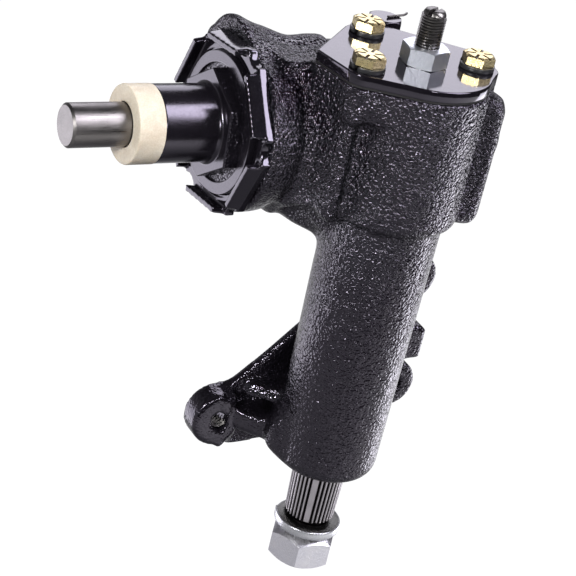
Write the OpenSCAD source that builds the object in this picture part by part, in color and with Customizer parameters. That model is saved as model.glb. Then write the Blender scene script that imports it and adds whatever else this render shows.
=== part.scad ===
// Manual recirculating-ball steering gearbox.
// Z runs up the sector shaft, X along the worm, and Y from the sector shaft to the worm.
// The origin is on the sector shaft's axis, at the lower end of the housing's tube.

/* [Layout] */
// Distance between the sector shaft's axis and the worm's axis
axis_gap = 42; // [41:0.5:44]
// Height of the worm's axis above the lower end of the tube
worm_z = 156.5; // [154:0.5:160]
// Clearance between parts that turn or slide on each other
run_gap = 0.05; // [0.02:0.01:0.1]

/* [Gear train] */
// Turns of the steering shaft for one turn of the sector shaft
gear_ratio = 16; // [14:0.5:18]
// Module of the sector and rack teeth
tooth_module = 3.5; // [3.3:0.05:3.6]
// Teeth that a full circle of the sector would hold
sector_circle_teeth = 12; // [12:1:12]
// Pressure angle of the sector and rack teeth
pressure_angle = 25; // [23:1:27]
// Width of the sector and rack teeth along Z
tooth_w = 30; // [26:0.5:32]
// Backlash taken from each tooth flank
flank_gap = 0.3; // [0.2:0.05:0.4]
// Diameter of the recirculating balls
ball_d = 5.556; // [5:0.1:5.8]
// Radius of the helix that the ball centres follow
ball_path_r = 10.8; // [10.5:0.1:11]
// Length of the ball nut along the worm
nut_l = 60; // [58:0.5:62]
// Height of the ball nut along Z
nut_h = 34; // [32:0.5:36]
// Half of the worm's threaded length
worm_half = 45; // [44:0.5:46]

/* [Steering shaft] */
// Diameter of the steering shaft
shaft_d = 19.05; // [18:0.05:19.5]
// Distance from the sector axis plane to the shaft's outer end
shaft_reach = 139; // [130:1:180]

/* [Worm bearings] */
// Diameter of the bearing balls
bearing_ball_d = 6.35; // [5.5:0.05:6.5]
// Radius of the circle through the bearing balls
bearing_path_r = 14.2; // [14:0.1:14.6]
// Balls in each bearing
bearing_balls = 11; // [9:1:11]
// Outer radius of the bearing cups
cup_r = 20; // [19:0.25:21]

/* [Sector shaft] */
// Diameter of the sector shaft in its bushes
sector_d = 28.58; // [27:0.1:30]
// Diameter of the spline at its big end
spline_d = 25.4; // [24.5:0.1:26]
// Length of the spline below the tube
spline_l = 29; // [26:0.5:32]
// Loss of spline diameter for each millimetre of length
spline_taper = 0.0625; // [0.04:0.0025:0.07]
// Diameter of the thread for the pitman nut
pitman_thread_d = 19.05; // [18:0.05:19.5]
// Width across flats of the pitman nut
pitman_nut_af = 28.6; // [27:0.1:30]
// Height of the pitman nut
pitman_nut_h = 17; // [15:0.5:19]
// Room between the spline and the pitman nut
pitman_neck = 9.5; // [9:0.25:12]

/* [Housing] */
// Radius of the tube at its lower end
tube_r_low = 24.5; // [23.5:0.1:26]
// Radius of the tube where it meets the sector chamber
tube_r_high = 26.2; // [25.5:0.1:28]
// Height of the underside of the sector chamber
lobe_z = 133.5; // [131:0.5:136]
// Wall of the sector chamber
lobe_wall = 5.4; // [4.5:0.1:6]
// Height of the seat for the cover's gasket above the worm's axis
seat_rise = 40.9; // [39.5:0.1:43]
// Radius of the bore that the ball nut slides in
barrel_bore_r = 29.5; // [29:0.1:30.5]
// Wall of the worm barrel
barrel_wall = 6.5; // [5.5:0.25:7]
// Distance from the sector axis plane to the collar's face
collar_x = 62; // [61.5:0.25:64]
// Radius of the collar round the bearing adjuster
collar_r = 40.5; // [40:0.2:43]
// Thickness of the barrel's closed end
end_wall = 5; // [4:0.5:7]

/* [Mounting ears] */
// Distance from the sector axis to the mounting face
mount_y = 34; // [33:0.5:38]
// Thickness of the ears
ear_t = 12; // [10:0.5:14]
// Radius of the tapped holes for the frame bolts
ear_hole_r = 4.7; // [4.2:0.05:5.2]
// Radius of the left ear
left_ear_r = 14; // [13:0.25:15]
// Radius of the right ears
right_ear_r = 12.5; // [11.5:0.25:13.5]

/* [Cover] */
// Thickness of the sector cover
cover_t = 4.8; // [4:0.1:6]
// Thickness of the cover's gasket
gasket_t = 0.8; // [0.5:0.1:1.2]
// Radius of the cover's front edge
cover_r = 30.6; // [30:0.1:31.2]
// Radius of the cover's edge round each bolt
cover_ear_r = 9.8; // [9:0.1:10.5]
// Diameter of the cover bolts
cover_bolt_d = 7.94; // [7:0.05:8.2]
// Width across flats of the cover bolts
cover_bolt_af = 12.7; // [12:0.1:13.5]

/* [Lash adjuster] */
// Diameter of the adjusting screw
screw_d = 11; // [10:0.1:11.5]
// Height of the adjusting screw above the cover
screw_rise = 24.2; // [20:0.1:26]
// Width across flats of the adjusting screw's lock nut
screw_nut_af = 18.6; // [17:0.1:19.5]
// Height of the adjusting screw's lock nut
screw_nut_h = 8; // [6:0.25:9]

/* [Bearing adjuster] */
// Radius of the bearing adjuster's thread
adjuster_r = 31.25; // [30.75:0.05:31.75]
// Distance from the collar's face to the adjuster's rim
adjuster_proud = 6.7; // [6:0.1:8]
// Distance from the rim to the face of the adjuster's hexagon
hex_proud = 5.3; // [4:0.1:7]
// Width across flats of the adjuster's hexagon
adjuster_hex_af = 43.3; // [41:0.1:44]
// Radius of the adjuster's neck
neck_r = 17; // [16.5:0.1:18]
// Length of the neck beyond the hexagon
neck_l = 26.6; // [24:0.2:30]
// Length of the bush that shows at the neck's end
bush_l = 12.1; // [10:0.1:14]
// Width across flats of the stamped lock nut
lock_nut_af = 75; // [73:0.25:78]
// Thickness of the stamped lock nut's sheet
lock_nut_t = 4; // [3:0.1:4.5]
// Height of the stamped lock nut's flanges
lock_flange_h = 3.5; // [2.5:0.25:5]

/* [Hidden] */
$fn = 96;
pitch_r = tooth_module * sector_circle_teeth / 2;
seat_z = worm_z + seat_rise;
addendum = tooth_module;
dedendum = 1.25 * tooth_module;
tip_r = pitch_r + addendum;
root_r = pitch_r - dedendum;
base_r = pitch_r * cos(pressure_angle);
tooth_half_deg = 90 / sector_circle_teeth;
rack_y = axis_gap - pitch_r;
nut_half_y = rack_y - dedendum;
tooth_z0 = worm_z - tooth_w / 2;
lead = 2 * PI * pitch_r / gear_ratio;
ball_r = ball_d / 2;
ball_gap = 0.3;
thread_gap = 0.35;
groove_sides = 8;
groove_r = (ball_r + ball_gap) / cos(180 / groove_sides);
nut_groove_turns = 3.2;
nut_corner = 5.5;
guide_wall = 0.9;
guide_leg = 1.2;
guide_bend = 4.4;
guide_gap = 0.2;
clamp_foot_l = 19;
clamp_foot_t = 2.2;
clamp_w = 6;
clamp_strap_t = 1.2;
clamp_screw_z = 6.5;
clamp_screw_r = 1.95;
clamp_screw_l = 6;
clamp_head_r = 3;
clamp_head_h = 2.2;

chamber_gap = 1.6;
chamber_r = tip_r + chamber_gap;
lobe_r = chamber_r + lobe_wall;
barrel_r = barrel_bore_r + barrel_wall;
tube_round = 7;
lobe_round = 5;
column_round = 6;
column_drop = 2;

bush_wall = 3;
bush_len = 22;
bush_space = 4;
sector_bore_r = sector_d / 2 + bush_wall;
seal_len = 9;
seal_z = 5;

bearing_ball_r = bearing_ball_d / 2;
bearing_x = worm_half + 6;
cup_depth = 7;
cup_lip = 1.2;
race_gap = 0.15;
cage_back = 1.4;
cage_out = 2.8;
cage_in = 0.3;
cage_room = 0.2;
pocket_gap = 0.1;
cup_bore_room = 1.5;
cup_mouth = 1;
shoulder_drop = 0.8;
shoulder_back = 0.6;
shaft_bevel = 1;
relief_w = 3;
relief_out = 0.5;
relief_depth = 0.3;
end_x = bearing_x + cup_depth + end_wall;
taper_back = 9;
taper_x = worm_half - taper_back;
collar_l = 11;
collar_lift = 1.5;
collar_overlap = 5;
tube_overlap = 10;
hump_r = 21;
hump_y = 5;
hump_rise = 4.8;
hump_l = 3;
hump_fall = 3.8;
hump_tail_fall = 3.2;
hump_tail = 12;
hump_back = 16;
flange_sheet = 2.8;
flange_l = 27.6;
notch_r = 6.5;
lock_nut_turn = -6;
deck_front_y = 16.5;
deck_w = 20;
deck_drop = 1.4;
seat_block_h = 16;
left_post_r = 8;
deck_lap = 2;
saddle_left_xy = [-41, 30];
saddle_left_r = 10;
saddle_left_drop = 28;
saddle_left_h = 62;
saddle_mid_xy = [-14, 20];
saddle_mid_r = 12;
saddle_mid_drop = 8;
saddle_mid_h = 60;
belly_left_xy = [-44, 40];
belly_left_r = 16;
belly_left_drop = 21;
belly_tube_xy = [-12, 14];
belly_tube_r = 10;
belly_tube_h = 20;
belly_mid_y = 40;
belly_mid_r = 14;
belly_mid_drop = 22;
throat_left_xy = [-37, 24];
throat_left_r = 10;
throat_left_drop = 17.5;
throat_post_xy = [-26, 5];
throat_post_r = 8;
throat_post_drop = 18.5;
throat_tube_r = 17;
throat_tube_drop = 20.5;
throat_tube_h = 8;
right_post_out = 3;
right_post_drop = 6;
right_post_lift = -1.5;
right_boss_lift = 10;

cover_bolts_xy = [[-30.7, -5.3], [24.3, -5.3], [-9.7, 31.7]];
cover_left_corner = [-43.8, 14];
cover_right_corner = [35, 12];
cover_rear_left = [-16, 39.4];
cover_rear_right = [5.5, 38.4];
cover_rear_tip = [-6, 41.2];
cover_left_deg = 237;
cover_right_deg = 308;
outline_lap = 0.15;
cover_z = seat_z + gasket_t;
cover_top = cover_z + cover_t;
bolt_depth = 9;
tap_r = cover_bolt_d / 2;
bolt_boss_wall = 1.6;
bolt_gap = 0.4;
washer_h = 2;
washer_room = 0.2;
washer_lip = 1.3;
washer_slit = 1.2;
bolt_head_h = 5.3;
bolt_turn = 12;

journal_r = sector_d / 2 - 0.3;
cover_bush_wall = 2.5;
cover_bush_short = 4;
boss_r = journal_r + cover_bush_wall + 2.5;
boss_bottom = tooth_z0 + tooth_w + 2.5;
journal_top = cover_z - 3;
head_r = 7.6;
head_h = 4;
shim_h = 1.6;
slot_lip = 2.8;
screw_bevel = 1.2;
screw_slot_w = 1.8;
screw_slot_h = 2.6;
screw_turn = 30;
screw_nut_turn = 22;
slot_gap = 0.3;

ear_front = mount_y - ear_t;
left_ear = [-45.6, 12];
right_upper_ear = [43, 82];
right_lower_ear = [46.5, 22.5];
web_t = 6;
pad_proud = 1;
rib_half = 5.5;
rib_mid_y = 14;
left_web_high = [[0, 66], [-9, 57], [-22, 44]];
left_web_in = [7, 17];
left_web_top = [-4, 13];
left_web_low = [-2, -13.5];
left_web_foot = [[-22, 0], [0, 1]];
left_rib_in = 2;
left_rib_bend = -34;
left_rib_root = [-20, 8];
gusset_x = -32;
gusset_back = 2;
gusset_root = [-17, 12];
gusset_lift = 12;
right_web_low = 20;
right_web_high = 108;
right_rib_x = 20;
right_rib_y = 8;
rail_stop = [[20, 37], [57.5, 37], [57.5, 53], [55, 55], [20, 60]];

plug_xy = [8.5, 46.5];
plug_r = 6.2;
plug_af = 14.3;
plug_head_h = 8;
plug_boss_r = 11;
plug_boss_drop = 1;
plug_short = 2;

hex_round = 1 / cos(30);
hex_flat = 0.475;
rim_x = collar_x + adjuster_proud;
hex_x = rim_x + hex_proud;
neck_x = hex_x + neck_l;
neck_flare = 2.6;
neck_flare_l = 5;
bush_lip = 0.2;
shaft_room = 1;
rim_w = 5.25;
rim_recess = 4;
seal_pocket_r = 14;
bush_spigot = 4;
worm_seal_len = 7;
adjuster_inner = bearing_x - cup_lip;

spline_bottom = -spline_l;
nut_top_z = spline_bottom - pitman_neck;
nut_low_z = nut_top_z - pitman_nut_h;
thread_end_z = nut_low_z - 2;
washer_t = 4.7;
washer_w = 6;
washer_rise = 3.2;
camera_side_deg = 233.5;
spline_teeth = 36;

black_paint = [0.07, 0.07, 0.08];
raw_steel = [0.62, 0.6, 0.58];
zinc = [0.8, 0.82, 0.85];
yellow_zinc = [0.85, 0.74, 0.42];
bronze = [0.72, 0.52, 0.3];
rubber = [0.12, 0.12, 0.12];

// Places children on the worm's axis with their own Z turned along +X
module along_worm(x = 0) {
    translate([x, axis_gap, worm_z])
        rotate([0, 90, 0])
            children();
}

// Ring about Z
module ring(r_out, r_in, h) {
    difference() {
        cylinder(r = r_out, h = h);
        translate([0, 0, -1])
            cylinder(r = r_in, h = h + 2);
    }
}

// Hexagonal prism about Z by its width across flats
module hex_prism(af, h) {
    cylinder(r = af / 2 * hex_round, h = h, $fn = 6);
}

// Hexagonal head or nut with its corners turned down at the ends that are asked for
module hex_turned(af, h, low = true, high = true) {
    corner = af / 2 * hex_round;
    flat_r = af * hex_flat;
    drop = (corner + 1 - flat_r) * tan(30);
    intersection() {
        hex_prism(af, h);
        rotate_extrude()
            polygon([[0, 0], [low ? flat_r : corner + 1, 0], [corner + 1, low ? drop : 0],
                     [corner + 1, high ? h - drop : h], [high ? flat_r : corner + 1, h], [0, h]]);
    }
}

// Split spring washer that lies flat
module split_washer(r_in, r_out, h, slit) {
    difference() {
        ring(r_out, r_in, h);
        rotate([0, 0, 20])
            translate([0, -slit / 2, -1])
                cube([r_out + 1, slit, h + 2]);
    }
}

// Plate with the outline of the cover, its gasket and its seat
module cover_plate(h) {
    left = cover_bolts_xy[0];
    right = cover_bolts_xy[1];
    edge = cover_ear_r - outline_lap;
    front = cover_r - outline_lap;
    cylinder(r = cover_r, h = h);
    at_cover_bolts(0)
        cylinder(r = cover_ear_r, h = h);
    linear_extrude(h)
        polygon([left + [-edge, -1], cover_left_corner, cover_rear_left, cover_rear_tip,
                 cover_rear_right, cover_right_corner, right + [edge, 0]]);
    linear_extrude(h)
        polygon([left, left + polar(edge, cover_left_deg), polar(front, cover_left_deg), [0, 0]]);
    linear_extrude(h)
        polygon([right, right + polar(edge, cover_right_deg), polar(front, cover_right_deg), [0, 0]]);
}

// Room for the sector's teeth, with a boss left round the right cover bolt
module chamber_outline() {
    difference() {
        circle(r = chamber_r);
        translate(cover_bolts_xy[1])
            circle(r = tap_r + bolt_boss_wall);
    }
}

module at_cover_bolts(z) {
    for (p = cover_bolts_xy)
        translate([p[0], p[1], z])
            children();
}

// Point on the ball helix, with a section offset that runs outward and along the worm
function helix_point(x, out, along) =
    let (turn = 360 * x / lead)
    [x + along, (ball_path_r + out) * cos(turn), (ball_path_r + out) * sin(turn)];

// Tube swept along the ball helix, used to cut the grooves
module ball_groove(x0, x1, section_r) {
    sides = groove_sides;
    per_turn = 20;
    steps = ceil((x1 - x0) / lead * per_turn);
    points = [for (i = [0:steps]) for (k = [0:sides - 1])
        helix_point(x0 + (x1 - x0) * i / steps,
                    section_r * cos(360 * (k + 0.5) / sides), section_r * sin(360 * (k + 0.5) / sides))];
    walls = [for (i = [0:steps - 1]) for (k = [0:sides - 1])
        let (a = i * sides + k, b = i * sides + (k + 1) % sides)
        each [[a, b, b + sides], [a, b + sides, a + sides]]];
    start_cap = [for (k = [sides - 1:-1:0]) k];
    end_cap = [for (k = [0:sides - 1]) steps * sides + k];
    polyhedron(points, concat(walls, [start_cap, end_cap]));
}

// Angle by which an involute has unrolled at a radius
function involute_deg(r) =
    let (a = acos(min(1, base_r / r)))
    tan(a) * 180 / PI - a;

// Half the angle of a sector tooth at a radius
function tooth_half(r) =
    tooth_half_deg - flank_gap / pitch_r * 180 / PI
    + involute_deg(pitch_r) - involute_deg(max(r, base_r));

function polar(r, a) = [r * cos(a), r * sin(a)];

// One sector tooth, pointing along +X
module sector_tooth() {
    steps = 7;
    r0 = root_r - 1;
    radii = concat([r0], [for (i = [0:steps]) max(root_r, base_r) + (tip_r - max(root_r, base_r)) * i / steps]);
    left = [for (r = radii) polar(r, tooth_half(r))];
    right = [for (i = [len(radii) - 1:-1:0]) polar(radii[i], -tooth_half(radii[i]))];
    polygon(concat(left, right));
}

// Rack teeth of the ball nut, in the plane of X and the distance towards the sector
module rack_profile() {
    pitch = PI * tooth_module;
    slope = tan(pressure_angle);
    half = pitch / 4 - flank_gap;
    top = addendum * 0.95;
    for (i = [-2.5:1:2.5])
        translate([i * pitch, rack_y])
            polygon([[-half - dedendum * slope, -dedendum - 0.5], [half + dedendum * slope, -dedendum - 0.5],
                     [half - top * slope, top], [-half + top * slope, top]]);
}

// Sector tube, with its lower edge rounded
module tube_outside() {
    rotate_extrude()
        difference() {
            polygon([[0, 0], [tube_r_low, 0], [tube_r_high, lobe_z],
                     [tube_r_high, lobe_z + tube_overlap], [0, lobe_z + tube_overlap]]);
            translate([tube_r_low - tube_round, 0])
                difference() {
                    translate([0, -1])
                        square([tube_round + 2, tube_round + 1]);
                    translate([0, tube_round])
                        circle(r = tube_round);
                }
        }
}

// Upright post with a rounded foot
module post(r, z0, z1, foot) {
    translate([0, 0, z0])
        rotate_extrude()
            intersection() {
                union() {
                    translate([0, foot])
                        square([r, z1 - z0 - foot]);
                    square([r - foot, z1 - z0]);
                    translate([r - foot, foot])
                        circle(r = foot);
                }
                square([r, z1 - z0]);
            }
}

// Worm barrel, its tapered closed end, its collar and the deck beside the cover
module barrel_outside() {
    hump_tail_r = hump_r - hump_fall - hump_tail_fall;
    along_worm(-collar_x + collar_l - collar_overlap)
        cylinder(r = barrel_r, h = collar_x - collar_l + collar_overlap + taper_x);
    along_worm(taper_x)
        cylinder(r1 = barrel_r, r2 = cup_r + end_wall, h = end_x - taper_x);
    translate([-collar_x, axis_gap, worm_z + collar_lift])
        rotate([0, 90, 0]) {
            cylinder(r = collar_r, h = collar_l);
            translate([0, 0, collar_l])
                cylinder(r1 = collar_r, r2 = barrel_r - collar_lift, h = collar_l);
        }
    translate([-collar_x, axis_gap + hump_y, worm_z + collar_r - hump_r + hump_rise])
        rotate([0, 90, 0]) {
            cylinder(r = hump_r, h = hump_l);
            translate([0, 0, hump_l])
                cylinder(r1 = hump_r, r2 = hump_r - hump_fall, h = collar_l);
            translate([0, 0, hump_l + collar_l]) {
                cylinder(r1 = hump_r - hump_fall, r2 = hump_tail_r, h = hump_tail);
                cylinder(r = hump_tail_r, h = hump_tail + hump_back);
            }
        }
}

// Casting between the barrel, the sector chamber and the tube
module saddle_outside() {
    left = cover_bolts_xy[0];
    translate([-collar_x + collar_l - deck_lap, deck_front_y, worm_z])
        cube([collar_x, deck_w, seat_z - deck_drop - worm_z]);
    translate([0, 0, seat_z - seat_block_h])
        cover_plate(seat_block_h);
    hull() {
        translate([left[0], left[1], lobe_z + column_round])
            cylinder(r = left_post_r, h = seat_z - lobe_z - 2 * column_round, $fn = 32);
        translate([saddle_left_xy[0], saddle_left_xy[1], worm_z - saddle_left_drop])
            cylinder(r = saddle_left_r, h = saddle_left_h, $fn = 32);
        translate([saddle_mid_xy[0], saddle_mid_xy[1], lobe_z - saddle_mid_drop])
            cylinder(r = saddle_mid_r, h = saddle_mid_h, $fn = 32);
    }
    hull() {
        translate([belly_left_xy[0], belly_left_xy[1], worm_z - belly_left_drop])
            sphere(r = belly_left_r, $fn = 32);
        translate([belly_tube_xy[0], belly_tube_xy[1], lobe_z - belly_tube_h])
            cylinder(r = belly_tube_r, h = belly_tube_h, $fn = 32);
        translate([0, belly_mid_y, worm_z - belly_mid_drop])
            sphere(r = belly_mid_r, $fn = 32);
    }
    hull() {
        translate([throat_left_xy[0], throat_left_xy[1], worm_z - throat_left_drop])
            sphere(r = throat_left_r, $fn = 32);
        translate([throat_post_xy[0], throat_post_xy[1], worm_z - throat_post_drop])
            sphere(r = throat_post_r, $fn = 32);
        translate([0, 0, lobe_z - throat_tube_drop])
            cylinder(r = throat_tube_r, h = throat_tube_h, $fn = 48);
    }
}

// Boss of one mounting ear, with its axis along Y
module ear_boss(p, r) {
    translate([p[0], mount_y, p[1]])
        rotate([90, 0, 0])
            cylinder(r = r, h = ear_t);
}

// Plate parallel to the mounting face from its XZ outline
module back_plate(points, y0, y1) {
    translate([0, y1, 0])
        rotate([90, 0, 0])
            linear_extrude(y1 - y0)
                polygon(points);
}

// Shelf across the ear from its XY outline
module shelf(points, z0, z1) {
    translate([0, 0, z0])
        linear_extrude(z1 - z0)
            polygon(points);
}

// Mounting ears with their webs, ribs and gussets
module ears_outside() {
    l = left_ear;
    u = right_upper_ear;
    w = right_lower_ear;
    web_y = mount_y - web_t;
    web_back = mount_y - pad_proud;
    ear_boss(l, left_ear_r);
    ear_boss(u, right_ear_r);
    ear_boss(w, right_ear_r);
    back_plate(concat(left_web_high, [l + left_web_in, l + left_web_top, l + left_web_low], left_web_foot),
               web_y, web_back);
    shelf([[l[0] + left_rib_in, ear_front], [left_rib_bend, ear_front], left_rib_root, [0, rib_mid_y],
           [0, web_back], [l[0], web_back]],
          l[1] - rib_half, l[1] + rib_half);
    shelf([[gusset_x, ear_front + gusset_back], gusset_root, [0, rib_mid_y], [0, web_back], [gusset_x, web_back]],
          l[1] + gusset_lift, l[1] + gusset_lift + web_t);
    back_plate([[0, right_web_low], w + [0, -right_ear_r], w, u, u + [-rib_half, right_ear_r], [0, right_web_high]],
               web_y, web_back);
    back_plate(rail_stop, ear_front - pad_proud, web_back);
    for (p = [u, w])
        shelf([[0, right_rib_y], [right_rib_x, right_rib_y], [p[0], ear_front], [p[0], web_back], [0, web_back]],
              p[1] - rib_half, p[1] + rib_half);
}

module housing_outside() {
    left = cover_bolts_xy[0];
    right = cover_bolts_xy[1];
    tube_outside();
    post(lobe_r, lobe_z, seat_z, lobe_round);
    translate([left[0], left[1], 0])
        post(left_post_r, lobe_z - column_drop, seat_z, column_round);
    translate([right[0] + right_post_out, right[1], 0])
        post(cover_ear_r + column_drop, lobe_z + right_post_lift, seat_z - right_post_drop, column_round);
    translate([right[0], right[1], 0])
        post(cover_ear_r, lobe_z + right_boss_lift, seat_z, column_round);
    barrel_outside();
    saddle_outside();
    ears_outside();
    translate([plug_xy[0], plug_xy[1], worm_z])
        cylinder(r = plug_boss_r, h = seat_rise - plug_boss_drop);
}

module housing_inside() {
    along_worm(-collar_x - 1)
        cylinder(r = adjuster_r + run_gap, h = collar_x + 1 - adjuster_inner + 0.5);
    along_worm(-adjuster_inner)
        cylinder(r = barrel_bore_r, h = 2 * adjuster_inner);
    along_worm(0)
        cylinder(r = cup_r + run_gap, h = bearing_x + cup_depth);
    translate([0, 0, tooth_z0 - 1.5])
        linear_extrude(seat_z)
            chamber_outline();
    translate([0, 0, -1])
        cylinder(r = sector_bore_r, h = tooth_z0 + 1);
    at_cover_bolts(seat_z - bolt_depth - 1.5)
        cylinder(r = tap_r, h = bolt_depth + 3);
    translate([plug_xy[0], plug_xy[1], worm_z])
        cylinder(r = plug_r, h = seat_z);
    for (p = [left_ear, right_upper_ear, right_lower_ear])
        translate([p[0], mount_y + 1, p[1]])
            rotate([90, 0, 0])
                cylinder(r = ear_hole_r, h = ear_t + 2);
}

module housing() {
    color(black_paint)
        difference() {
            housing_outside();
            housing_inside();
            translate([cover_left_corner[0] - deck_lap, -2 * cover_r, seat_z])
                cube([2 * collar_x, 4 * cover_r, cover_r]);
        }
}

module sector_cover() {
    color(black_paint)
        difference() {
            union() {
                translate([0, 0, cover_z])
                    cover_plate(cover_t);
                translate([0, 0, boss_bottom])
                    cylinder(r = boss_r, h = cover_z - boss_bottom + 1);
            }
            translate([0, 0, boss_bottom - 1])
                cylinder(r = journal_r + cover_bush_wall, h = cover_z - boss_bottom);
            cylinder(r = screw_d / 2 + run_gap, h = cover_top + 1);
            at_cover_bolts(cover_z - 1)
                cylinder(r = tap_r + bolt_gap, h = cover_t + 2);
        }
}

module cover_gasket() {
    color([0.25, 0.22, 0.2])
        difference() {
            translate([0, 0, seat_z])
                cover_plate(gasket_t);
            translate([0, 0, seat_z - 1])
                linear_extrude(gasket_t + 2)
                    chamber_outline();
            at_cover_bolts(seat_z - 1)
                cylinder(r = tap_r + bolt_gap, h = gasket_t + 2);
        }
}

module cover_bolts() {
    color(yellow_zinc)
        at_cover_bolts(0) {
            translate([0, 0, cover_top + washer_h])
                rotate([0, 0, bolt_turn])
                    hex_turned(cover_bolt_af, bolt_head_h, low = false);
            translate([0, 0, seat_z - bolt_depth])
                cylinder(r = cover_bolt_d / 2 - run_gap, h = cover_top + washer_h - seat_z + bolt_depth + 1);
        }
}

module cover_lock_washers() {
    color([0.1, 0.1, 0.1])
        at_cover_bolts(cover_top)
            split_washer(cover_bolt_d / 2 + washer_room, cover_bolt_af / 2 + washer_lip, washer_h, washer_slit);
}

module filler_plug() {
    color(black_paint)
        translate([plug_xy[0], plug_xy[1], 0]) {
            translate([0, 0, seat_z - plug_boss_drop])
                hex_turned(plug_af, plug_head_h, low = false);
            translate([0, 0, worm_z + barrel_bore_r + plug_short])
                cylinder(r = plug_r - run_gap, h = seat_rise - barrel_bore_r - plug_short);
        }
}

module adjusting_screw() {
    tip = cover_top + screw_rise;
    head_z = journal_top - slot_lip - slot_gap - head_h;
    color([0.3, 0.29, 0.28])
        difference() {
            translate([0, 0, head_z])
                rotate_extrude()
                    polygon([[0, 0], [head_r, 0], [head_r, head_h], [screw_d / 2, head_h],
                             [screw_d / 2, tip - head_z - screw_bevel], [screw_d / 2 - screw_bevel, tip - head_z],
                             [0, tip - head_z]]);
            rotate([0, 0, screw_turn])
                translate([-screw_d, -screw_slot_w / 2, tip - screw_slot_h])
                    cube([2 * screw_d, screw_slot_w, screw_slot_h + 1]);
        }
}

module adjusting_screw_nut() {
    color(zinc)
        translate([0, 0, cover_top])
            rotate([0, 0, screw_nut_turn])
                difference() {
                    hex_turned(screw_nut_af, screw_nut_h);
                    translate([0, 0, -1])
                        cylinder(r = screw_d / 2 + run_gap, h = screw_nut_h + 2);
                }
}

module adjusting_screw_shim() {
    color(raw_steel)
        translate([0, 0, journal_top - slot_lip - slot_gap - head_h - shim_h])
            cylinder(r = head_r, h = shim_h);
}

module cover_bush() {
    color(bronze)
        translate([0, 0, boss_bottom])
            ring(journal_r + cover_bush_wall, journal_r + run_gap, cover_z - boss_bottom - cover_bush_short);
}

module worm_bearing_adjuster() {
    shaft_r = shaft_d / 2;
    color(black_paint)
        difference() {
            union() {
                along_worm(-rim_x)
                    difference() {
                        cylinder(r = adjuster_r, h = rim_x - adjuster_inner);
                        translate([0, 0, -1])
                            cylinder(r = adjuster_r - rim_w, h = rim_recess + 1);
                    }
                along_worm(-hex_x)
                    hex_prism(adjuster_hex_af, hex_proud + rim_recess + 1);
                along_worm(-neck_x)
                    cylinder(r = neck_r, h = neck_l + 1);
                along_worm(-hex_x - neck_flare_l)
                    cylinder(r1 = neck_r, r2 = neck_r + neck_flare, h = neck_flare_l);
            }
            along_worm(-neck_x - 1)
                cylinder(r = shaft_r + shaft_room, h = neck_x);
            along_worm(-neck_x - 1)
                cylinder(r = seal_pocket_r, h = 1 + bush_spigot + worm_seal_len);
            along_worm(-bearing_x - cup_depth)
                cylinder(r = cup_r + run_gap, h = cup_depth + cup_lip + 1);
        }
}

// Flat sheet with a flange turned up on each side and its corners notched
module adjuster_lock_nut() {
    half = lock_nut_af / 2;
    color(black_paint)
        along_worm(-collar_x - lock_nut_t)
            rotate([0, 0, lock_nut_turn])
                difference() {
                    union() {
                        rotate([0, 0, 30])
                            hex_prism(lock_nut_af, lock_nut_t);
                        for (i = [0:5])
                            rotate([0, 0, 60 * i])
                                translate([half - flange_sheet, -flange_l / 2, -lock_flange_h])
                                    cube([flange_sheet, flange_l, lock_flange_h + 1]);
                    }
                    translate([0, 0, -1])
                        cylinder(r = adjuster_r + run_gap, h = lock_nut_t + 2);
                    for (i = [0:5])
                        rotate([0, 0, 60 * i + 30])
                            translate([half * hex_round + 1, 0, -1])
                                cylinder(r = notch_r, h = lock_nut_t + 2);
                }
}

module shaft_bush() {
    color([0.93, 0.88, 0.76])
        difference() {
            union() {
                along_worm(-neck_x - bush_l)
                    cylinder(r = neck_r + bush_lip, h = bush_l);
                along_worm(-neck_x - 1)
                    cylinder(r = seal_pocket_r - run_gap, h = bush_spigot + 1);
            }
            along_worm(-neck_x - bush_l - 1)
                cylinder(r = shaft_d / 2 + run_gap, h = bush_l + bush_spigot + 2);
        }
}

module worm_shaft_seal() {
    color(rubber)
        along_worm(-neck_x + bush_spigot)
            ring(seal_pocket_r - run_gap, shaft_d / 2 + run_gap, worm_seal_len);
}

// One half of a thrust bearing; dir is -1 at the steering wheel's end and 1 at the closed end
module bearing_place(dir) {
    translate([dir * bearing_x, axis_gap, worm_z])
        rotate([0, dir * 90, 0])
            children();
}

module bearing_cup(dir) {
    color(raw_steel)
        bearing_place(dir)
            rotate_extrude()
                difference() {
                    polygon([[shaft_d / 2 + cup_bore_room, cup_lip], [shaft_d / 2 + cup_bore_room, cup_depth],
                             [cup_r, cup_depth], [cup_r, -cup_lip], [bearing_path_r + cup_mouth, -cup_lip],
                             [bearing_path_r + cup_mouth, cup_lip]]);
                    translate([bearing_path_r, 0])
                        circle(r = bearing_ball_r + run_gap);
                }
}

module bearing_ball_set(dir) {
    color(raw_steel)
        bearing_place(dir)
            for (i = [0:bearing_balls - 1])
                rotate([0, 0, 360 * i / bearing_balls])
                    translate([bearing_path_r, 0, 0])
                        sphere(r = bearing_ball_r, $fn = 48);
}

module bearing_cage(dir) {
    color(bronze)
        bearing_place(dir)
            difference() {
                translate([0, 0, -bearing_ball_r - cage_back])
                    ring(bearing_path_r + cage_out, bearing_path_r - cage_in,
                         bearing_ball_r + cage_back - cup_lip - cage_room);
                for (i = [0:bearing_balls - 1])
                    rotate([0, 0, 360 * i / bearing_balls])
                        translate([bearing_path_r, 0, 0])
                            sphere(r = bearing_ball_r + pocket_gap, $fn = 48);
            }
}

module upper_bearing_cup() {
    bearing_cup(-1);
}

module upper_bearing_balls() {
    bearing_ball_set(-1);
}

module upper_bearing_cage() {
    bearing_cage(-1);
}

module lower_bearing_cup() {
    bearing_cup(1);
}

module lower_bearing_balls() {
    bearing_ball_set(1);
}

module lower_bearing_cage() {
    bearing_cage(1);
}

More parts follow.
